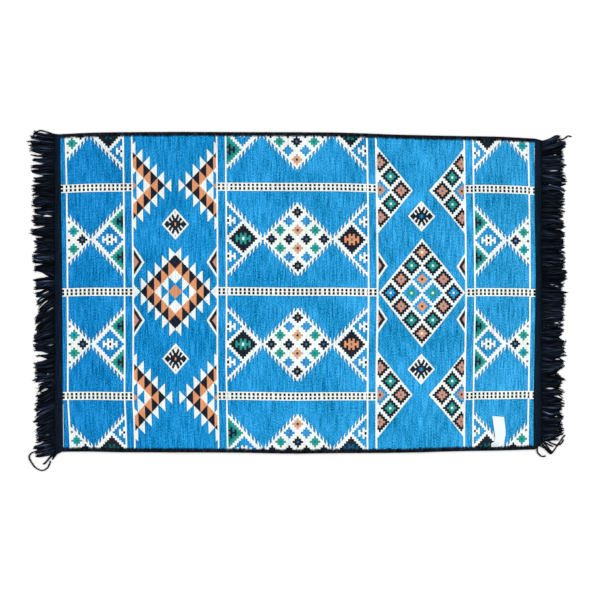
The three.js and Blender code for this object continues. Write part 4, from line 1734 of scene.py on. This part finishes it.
    def draft(self) -> Draft:
        """Drafts the fringe.

        Returns:
            Its mesh.
        """
        draw = np.random.default_rng(7 if self.side is Side.LEFT else 8)
        bundles = [self.paths(draw)]
        bundles.append(self.wisp_paths(bundles[0][0], draw))
        bundles += [self.loose_bundle(line, draw) for line in self.loose_lines()]
        points, faces, turns, tones = np.empty((0, 3)), [], [], []
        for lines, radii, shades in bundles:
            more, more_faces, more_turns = self.sweep(lines, radii, len(points))
            points, faces = np.vstack([points, more]), faces + more_faces
            turns.append(more_turns)
            tones.append(np.repeat(shades.ravel(), self.sides))
        corners = corners_of(faces)
        return Draft(
            f"fringe_yarn_{self.side.name.lower()}",
            points,
            faces,
            maps={"Twist": np.vstack(turns)},
            colours={"Tone": grey(np.concatenate(tones)[corners])},
        )


@dataclass(frozen=True)
class CareLabel(Piece):
    """The bare care label, sewn in at the front edge, its free end towards the middle of the rug."""

    lay: Lay
    rows: tuple[tuple[float, float, float], ...] = (
        (0, 478.6, 511.2),
        (0.12, 479.4, 511.8),
        (0.18, 487, 512.8),
        (0.37, 488, 514.8),
        (0.56, 485.8, 514.4),
        (0.75, 484, 512.8),
        (1, 481.3, 510.6),
    )
    sewn_y: float = -386.5
    slant: float = 7
    free_y: tuple[float, float] = (-309.2, -311.5)
    thickness: float = 0.7
    curl: float = 2.6
    arch: float = 2.2
    pucker: float = 4.2
    puckered: tuple[float, float] = (0.15, 498)
    across: int = 40
    along: int = 40
    threads: tuple[float, float] = (4, 4)

    def draft(self) -> Draft:
        """Drafts the label.

        Returns:
            Its mesh.
        """
        t = np.linspace(0, 1, self.along + 1)[:, None]
        s = np.linspace(0, 1, self.across + 1)[None, :]
        places, lows, highs = zip(*self.rows)
        low_x, high_x = smooth(places, lows, t), smooth(places, highs, t)
        x = low_x + (high_x - low_x) * s
        free_y = self.free_y[0] + (self.free_y[1] - self.free_y[0]) * s
        sewn_y = self.sewn_y + self.slant * np.maximum(s - 0.6, 0) / 0.4
        y = sewn_y + (free_y - sewn_y) * t
        front = self.lay.long_edge(np.array([lows[0]]), Side.FRONT)[0]
        distance = y - front - self.lay.serging_wrap - self.lay.gap
        rest = self.lay.edge_lift(np.maximum(distance - 2, 0)) + self.lay.thickness + self.lay.gap + 0.35
        bow = 0.8 * (2 * s - 1) ** 2 * t
        raised = self.arch * np.sin(np.pi * np.clip((t - 0.1) / 0.75, 0, 1)) ** 2 * (1.2 - 0.6 * s)
        until, up_to = self.puckered
        bunched = np.clip((until - t) / 0.03, 0, 1) * np.clip((up_to - x) / 3, 0, 1)
        wave = 0.5 + 0.5 * np.sin(2 * np.pi * x / self.pucker)
        z = rest + self.curl * np.maximum(t - 0.45, 0) ** 1.5 + bow + raised + 0.5 * bunched * (1 - wave)
        sides = tuple(np.stack([x, y, side], axis=2) for side in (z + self.thickness, z))
        # Painted shade in the troughs of the puckers near the seam.
        tones = grey((1 - bunched * (0.08 + 0.2 * wave)).ravel())
        return slab("care_label_ribbon", sides, tones, self.threads, False)


class Graph:
    """A node tree in the making, of a material or of a group."""

    def __init__(self, tree: bpy.types.NodeTree) -> None:
        """Starts on an empty tree."""
        self.tree = tree
        tree.nodes.clear()

    def node(self, kind: str, **settings: object) -> bpy.types.Node:
        """Adds a node.

        Args:
            kind: Its type.
            settings: Its own settings by name.

        Returns:
            The node.
        """
        made = self.tree.nodes.new(kind)
        for name, value in settings.items():
            setattr(made, name, value)
        return made

    def feed(self, socket: Socket, value: object) -> None:
        """Gives an input its value, or links it.

        Args:
            socket: The input.
            value: An output to link, or a plain value.
        """
        if isinstance(value, Socket):
            self.tree.links.new(value, socket)
        else:
            socket.default_value = value

    def fed(self, kind: str, inputs: dict, out: int | str = 0, **settings: object) -> Socket:
        """Adds a node with its inputs.

        Args:
            kind: Its type.
            inputs: Values or outputs for its inputs, by number or name.
            out: The output that is wanted, by number or name.
            settings: Its own settings by name.

        Returns:
            That output.
        """
        made = self.node(kind, **settings)
        for key, value in inputs.items():
            self.feed(made.inputs[key], value)
        return made.outputs[out]

    def math(self, operation: str, first: object, second: object = 0.0) -> Socket:
        """Adds a step of arithmetic."""
        return self.fed("ShaderNodeMath", {0: first, 1: second}, operation=operation)

    def times(self, first: object, second: object) -> Socket:
        """Multiplies two values."""
        return self.math("MULTIPLY", first, second)

    def plus(self, first: object, second: object) -> Socket:
        """Adds two values."""
        return self.math("ADD", first, second)

    def waves(self, value: object) -> Socket:
        """Turns a count into one rounded ridge for each unit of it."""
        wave = self.math("ABSOLUTE", self.math("SINE", self.times(value, math.pi)))
        return self.math("POWER", wave, RIDGE_ROUNDNESS)

    def fall(self, value: object, until: float) -> Socket:
        """Maps 0 to 1, and everything from a value upward to 0."""
        return self.fed("ShaderNodeMapRange", dict(enumerate((value, 0.0, until, 1.0, 0.0))))

    def noise(self, place: object, scales: tuple[float, float, float], detail: float) -> Socket:
        """Adds cloudy noise of about 0 to 1, as fine along each axis as its scales say."""
        inputs = {"Vector": self.scaled(place, scales), "Scale": 1.0, "Detail": detail}
        return self.fed("ShaderNodeTexNoise", inputs, "Fac")

    def scaled(self, vector: object, by: tuple[float, float, float]) -> Socket:
        """Scales a vector along each axis."""
        return self.fed("ShaderNodeVectorMath", {0: vector, 1: by}, operation="MULTIPLY")

    def brighten(self, colour: object, by: object) -> Socket:
        """Multiplies a colour by a value."""
        return self.fed("ShaderNodeVectorMath", {0: colour, "Scale": by}, operation="SCALE")

    def group(self, tree: bpy.types.NodeTree, **values: object) -> bpy.types.Node:
        """Places a group with its own values.

        Args:
            tree: The group.
            values: Its inputs, spaces in their names written as underscores.

        Returns:
            The placed group.
        """
        made = self.node("ShaderNodeGroup", node_tree=tree)
        for name, value in values.items():
            self.feed(made.inputs[name.replace("_", " ")], value)
        return made


class Effects:
    """The shader groups that the finishes share, each built once."""

    def __init__(self) -> None:
        """Builds the groups."""
        self.weave = self.beaded_weave()
        self.fuzz = self.fibre_fuzz()
        self.dye = self.dye_streaks()
        self.twist = self.yarn_twist()

    def start(self, name: str, inputs: dict[str, tuple[str, object]], outputs: dict[str, str]) -> Graph:
        """Starts a group.

        Args:
            name: Its name.
            inputs: Kind and first value of each input.
            outputs: Kind of each output.

        Returns:
            Its graph, with nodes for the inputs and outputs.
        """
        tree = bpy.data.node_groups.new(name, "ShaderNodeTree")
        for label, (kind, value) in inputs.items():
            socket = tree.interface.new_socket(label, in_out="INPUT", socket_type=kind)
            if value is not None:
                socket.default_value = value
        for label, kind in outputs.items():
            tree.interface.new_socket(label, in_out="OUTPUT", socket_type=kind)
        graph = Graph(tree)
        graph.given = graph.node("NodeGroupInput").outputs
        graph.result = graph.node("NodeGroupOutput").inputs
        return graph

    def beaded_weave(self) -> bpy.types.NodeTree:
        """Builds the beads of a weft-faced weave, offset by half a bead from pick to pick."""
        graph = self.start(
            "beaded weave",
            {"Map": (VECTOR, None), "Bead Depth": (FLOAT, 0.4)},
            {"Height": FLOAT, "Valley": FLOAT},
        )
        split = graph.node("ShaderNodeSeparateXYZ")
        graph.feed(split.inputs[0], graph.given["Map"])
        pick, bead = split.outputs[0], split.outputs[1]
        odd = graph.math("MODULO", graph.math("FLOOR", pick), 2.0)
        beads = graph.waves(graph.plus(bead, graph.times(odd, 0.5)))
        depth = graph.given["Bead Depth"]
        share = graph.plus(graph.math("SUBTRACT", 1.0, depth), graph.times(beads, depth))
        height = graph.times(graph.waves(pick), share)
        graph.feed(graph.result["Height"], height)
        graph.feed(graph.result["Valley"], graph.fall(height, 0.75))
        return graph.tree

    def fibre_fuzz(self) -> bpy.types.NodeTree:
        """Builds the fine uneven surface of spun fibre."""
        graph = self.start("fibre fuzz", {"Size": (FLOAT, 900.0)}, {"Height": FLOAT, "Tone": FLOAT})
        place = graph.node("ShaderNodeTexCoord").outputs["Object"]
        inputs = {"Vector": place, "Scale": graph.given["Size"], "Detail": 3.0}
        fine = graph.fed("ShaderNodeTexNoise", inputs, "Fac")
        graph.feed(graph.result["Height"], fine)
        tone = graph.fed("ShaderNodeMapRange", dict(enumerate((fine, 0.25, 0.75, 0.86, 1.12))))
        graph.feed(graph.result["Tone"], tone)
        return graph.tree

    def dye_streaks(self) -> bpy.types.NodeTree:
        """Builds uneven dye: short streaks along the yarn, with slow drifts over the cloth."""
        graph = self.start(
            "dye streaks",
            {
                "Map": (VECTOR, None),
                "Colour": (COLOUR, None),
                "Veil": (VECTOR, None),
                "Amount": (FLOAT, 1.0),
            },
            {"Colour": COLOUR},
        )
        place, colour, amount = (graph.given[name] for name in ("Map", "Colour", "Amount"))
        short = graph.noise(place, (0.8, 0.5, 1.0), 1.0)
        long = graph.noise(place, (0.5, 0.04, 1.0), 1.0)
        drift = graph.noise(place, (0.02, 0.016, 1.0), 3.0)
        mixed = graph.plus(graph.times(short, 1.1), graph.times(long, 0.8))
        mixed = graph.plus(mixed, graph.times(drift, 0.45))
        uneven = graph.times(graph.math("SUBTRACT", mixed, 1.175), amount)
        bright = graph.brighten(colour, graph.plus(1.0, uneven))
        veil = graph.brighten(graph.given["Veil"], uneven)
        total = graph.fed("ShaderNodeVectorMath", {0: bright, 1: veil}, operation="ADD")
        total = graph.fed("ShaderNodeVectorMath", {0: total}, operation="MAXIMUM")
        graph.feed(graph.result["Colour"], total)
        return graph.tree

    def yarn_twist(self) -> bpy.types.NodeTree:
        """Builds the plies of a twisted yarn, which wind round it."""
        graph = self.start(
            "yarn twist",
            {"Map": (VECTOR, None), "Plies": (FLOAT, 2.0), "Turn Length": (FLOAT, 5.0)},
            {"Height": FLOAT, "Groove": FLOAT},
        )
        split = graph.node("ShaderNodeSeparateXYZ")
        graph.feed(split.inputs[0], graph.given["Map"])
        wound = graph.math("DIVIDE", split.outputs[1], graph.given["Turn Length"])
        height = graph.waves(graph.times(graph.plus(split.outputs[0], wound), graph.given["Plies"]))
        graph.feed(graph.result["Height"], height)
        graph.feed(graph.result["Groove"], graph.fall(height, 0.6))
        return graph.tree


@dataclass(frozen=True, kw_only=True)
class ClothFinish:
    """What the finishes share: a dull cloth shader, with painted shade in its grooves and uneven with fuzz.

    Attributes:
        name: Name of the material.
        roughness: How dull it is.
        relief: What a height of 1 stands for, in metres.
        groove_shade: How much darker its grooves are.
        fuzz_size: How fine its fuzz is.
        fuzz_share: Share of the fuzz in its height.
        raised: How strongly its height shows.
        shine: How strongly it mirrors.
    """

    name: str
    roughness: float
    relief: float
    groove_shade: float
    fuzz_size: float
    fuzz_share: float
    raised: float
    shine: float

    def start(self) -> tuple[bpy.types.Material, Graph]:
        """Starts the material, with its graph."""
        made = bpy.data.materials.new(self.name)
        made.use_nodes = True
        return made, Graph(made.node_tree)

    def clothe(
        self, graph: Graph, effects: Effects, colour: Socket, groove: Socket, height: Socket
    ) -> None:
        """Adds the shader.

        Args:
            graph: The material's graph.
            effects: The shared groups.
            colour: Its colour.
            groove: Where its grooves are.
            height: Its height, 0 to 1.
        """
        fuzz = graph.group(effects.fuzz, Size=self.fuzz_size).outputs
        # Painted shade in the grooves.
        shade = graph.math("SUBTRACT", 1.0, graph.times(groove, self.groove_shade))
        if self.fuzz_share:
            uneven = graph.times(fuzz["Height"], self.fuzz_share)
            height = graph.plus(graph.times(height, 1 - self.fuzz_share), uneven)
        bump = {"Height": height, "Distance": self.relief, "Strength": self.raised}
        inputs = {
            "Base Color": graph.brighten(colour, graph.times(shade, fuzz["Tone"])),
            "Roughness": self.roughness,
            "Specular IOR Level": self.shine,
            "Normal": graph.fed("ShaderNodeBump", bump),
        }
        shader = graph.fed("ShaderNodeBsdfPrincipled", inputs)
        graph.feed(graph.node("ShaderNodeOutputMaterial").inputs[0], shader)


@dataclass(frozen=True, kw_only=True)
class FlatweaveFinish(ClothFinish):
    """Finish of the patterned cloth."""

    name: str = "flatweave"
    roughness: float = 0.9
    relief: float = 0.0006
    groove_shade: float = 0.3
    fuzz_size: float = 1400.0
    fuzz_share: float = 0.15
    raised: float = 0.7
    shine: float = 0.06
    bead_depth: float = 0.45
    streaks: float = 1.9
    veil: tuple[float, float, float] = (0.05, 0.03, 0.0)

    def material(self, effects: Effects) -> bpy.types.Material:
        """Builds the material.

        Args:
            effects: The shared groups.

        Returns:
            The material.
        """
        made, graph = self.start()
        yarn = graph.node("ShaderNodeAttribute", attribute_name="Yarn").outputs
        place = graph.node("ShaderNodeUVMap", uv_map="Weave").outputs[0]
        amount = graph.times(yarn["Alpha"], self.streaks)
        dye = graph.group(effects.dye, Map=place, Colour=yarn["Color"], Veil=self.veil, Amount=amount)
        weave = graph.group(effects.weave, Map=place, Bead_Depth=self.bead_depth).outputs
        self.clothe(graph, effects, dye.outputs["Colour"], weave["Valley"], weave["Height"])
        return made


@dataclass(frozen=True, kw_only=True)
class YarnFinish(ClothFinish):
    """Finish of a dark twisted yarn."""

    colour: str
    plies: float
    turn_length: float
    groove_shade: float = 0.45
    fuzz_size: float = 1100.0
    fuzz_share: float = 0.2
    raised: float = 0.8
    shine: float = 0.02

    def material(self, effects: Effects) -> bpy.types.Material:
        """Builds the material.

        Args:
            effects: The shared groups.

        Returns:
            The material.
        """
        made, graph = self.start()
        place = graph.node("ShaderNodeUVMap", uv_map="Twist").outputs[0]
        twist = graph.group(effects.twist, Map=place, Plies=self.plies, Turn_Length=self.turn_length)
        groove, height = (twist.outputs[name] for name in ("Groove", "Height"))
        tone = graph.node("ShaderNodeAttribute", attribute_name="Tone").outputs["Color"]
        self.clothe(graph, effects, graph.scaled(tone, linear(self.colour)), groove, height)
        return made


@dataclass(frozen=True, kw_only=True)
class TapeFinish(ClothFinish):
    """Finish of a plain woven band."""

    colour: str
    unevenness: float
    bead_depth: float = 0.6
    fuzz_size: float = 1200.0
    fuzz_share: float = 0.0
    raised: float = 0.7
    shine: float = 0.06

    def material(self, effects: Effects) -> bpy.types.Material:
        """Builds the material.

        Args:
            effects: The shared groups.

        Returns:
            The material.
        """
        made, graph = self.start()
        place = graph.node("ShaderNodeUVMap", uv_map="Weave").outputs[0]
        weave = graph.group(effects.weave, Map=place, Bead_Depth=self.bead_depth).outputs
        tone = graph.node("ShaderNodeAttribute", attribute_name="Tone").outputs["Color"]
        coloured = graph.scaled(tone, linear(self.colour))
        dye = graph.group(effects.dye, Map=place, Colour=coloured, Amount=self.unevenness).outputs["Colour"]
        self.clothe(graph, effects, dye, weave["Valley"], weave["Height"])
        return made


@dataclass(frozen=True)
class Studio:
    """The plain floor, the soft lights and the camera straight above."""

    floor_size: float = 9.0
    view_width: float = 1.5
    lens: float = 100.0
    sensor: float = 36.0
    aim: tuple[float, float] = (-0.0004, 0.0037)
    light_place: tuple[float, float, float] = (2.6, 0.6, 2.6)
    light_size: float = 2.4
    left_power: float = 46
    right_power: float = 52
    daylight: float = 0.75
    floor_tone: float = 0.9

    def build(self) -> bpy.types.Object:
        """Builds the studio.

        Returns:
            The floor.
        """
        floor = self.floor()
        self.camera()
        self.softbox("softbox_left", -1, self.left_power)
        self.softbox("softbox_right", 1, self.right_power)
        world = bpy.data.worlds.new("studio")
        world.use_nodes = True
        sky = world.node_tree.nodes["Background"].inputs
        sky["Color"].default_value = (1, 1, 1, 1)
        sky["Strength"].default_value = self.daylight
        bpy.context.scene.world = world
        bpy.context.scene.view_settings.view_transform = "Standard"
        return floor

    def floor(self) -> bpy.types.Object:
        """Builds the pale floor.

        Returns:
            The floor.
        """
        half = self.floor_size / 2
        corners = [(-half, -half, 0), (half, -half, 0), (half, half, 0), (-half, half, 0)]
        mesh = bpy.data.meshes.new("floor")
        mesh.from_pydata(corners, [], [(0, 1, 2, 3)])
        floor = bpy.data.objects.new("floor", mesh)
        bpy.context.scene.collection.objects.link(floor)
        made = bpy.data.materials.new("pale_floor")
        made.use_nodes = True
        shader = made.node_tree.nodes["Principled BSDF"]
        shader.inputs["Base Color"].default_value = (self.floor_tone, self.floor_tone, self.floor_tone, 1)
        shader.inputs["Roughness"].default_value = 0.95
        shader.inputs["Specular IOR Level"].default_value = 0.0
        mesh.materials.append(made)
        return floor

    def softbox(self, name: str, side: int, power: float) -> None:
        """Hangs a soft light that faces the rug.

        Args:
            name: Its name.
            side: 1 where it hangs on the right, -1 on the left.
            power: Its power in watts.
        """
        light = bpy.data.lights.new(name, "AREA")
        light.shape = "SQUARE"
        light.size = self.light_size
        light.energy = power
        place = (side * self.light_place[0], *self.light_place[1:])
        holder = bpy.data.objects.new(name, light)
        holder.location = place
        bpy.context.scene.collection.objects.link(holder)
        tilt = math.atan2(math.hypot(place[0], place[1]), place[2])
        holder.rotation_euler = (tilt, 0, math.atan2(place[1], place[0]) + math.pi / 2)

    def camera(self) -> None:
        """Hangs the camera straight above the rug, so that its view is one and a half metres wide."""
        data = bpy.data.cameras.new("camera")
        data.sensor_width = self.sensor
        data.lens = self.lens
        camera = bpy.data.objects.new("camera", data)
        camera.location = (*self.aim, self.view_width * self.lens / self.sensor)
        bpy.context.scene.collection.objects.link(camera)
        bpy.context.scene.camera = camera


def main() -> None:
    """Builds the rug and the studio."""
    logging.basicConfig(level=logging.INFO, format="%(name)s: %(message)s")
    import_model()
    lay, effects = Lay(), Effects()
    place = Place.under("woven_panel", lay)
    chart = Chart()
    LOG.info("chart of %d picks by %d beats", chart.picks, BEATS)
    cloth = FlatweaveFinish().material(effects)
    panel = WovenPanel(chart, lay).dress(place, cloth, "flatweave", "woven_panel")
    edge = YarnFinish(
        name="edge_yarn", colour="13171f", roughness=0.85, plies=1.0, turn_length=1.0, relief=0.0005
    ).material(effects)
    trims = [
        Overcast(lay, side).dress(place, edge, "edge_yarn", f"serging_{side.name.lower()}")
        for side in (Side.BACK, Side.FRONT)
    ]
    tape = TapeFinish(
        name="tape_cloth", colour="162130", roughness=0.85, relief=0.0005, groove_shade=0.4, unevenness=3.0
    ).material(effects)
    yarn = YarnFinish(
        name="fringe_yarn", colour="0e131c", roughness=0.8, plies=2.0, turn_length=6.0, relief=0.0006
    ).material(effects)
    left = Fringe(Side.LEFT, -616.0, 393.8, LEFT_LOCKS, LEFT_LOOSE_ENDS, LEFT_PARTINGS, open_from=0.2)
    right = Fringe(Side.RIGHT, 609.0, 376.0, RIGHT_LOCKS, RIGHT_LOOSE_ENDS, RIGHT_PARTINGS, open_from=0.72)
    for side, fringe in ((Side.LEFT, left), (Side.RIGHT, right)):
        node = f"fringe_{side.name.lower()}"
        trims.append(HeadingTape(lay, side).dress(place, tape, "fringe_yarn", node))
        trims.append(fringe.dress(place, yarn, "fringe_yarn", node))
    ribbon = TapeFinish(
        name="label_ribbon",
        colour="e4eef2",
        roughness=0.6,
        relief=0.0001,
        groove_shade=0.06,
        unevenness=0.15,
    ).material(effects)
    label = CareLabel(lay).dress(place, ribbon, "label_cloth", "care_label")
    Studio().build()


if __name__ == "__main__":
    main()
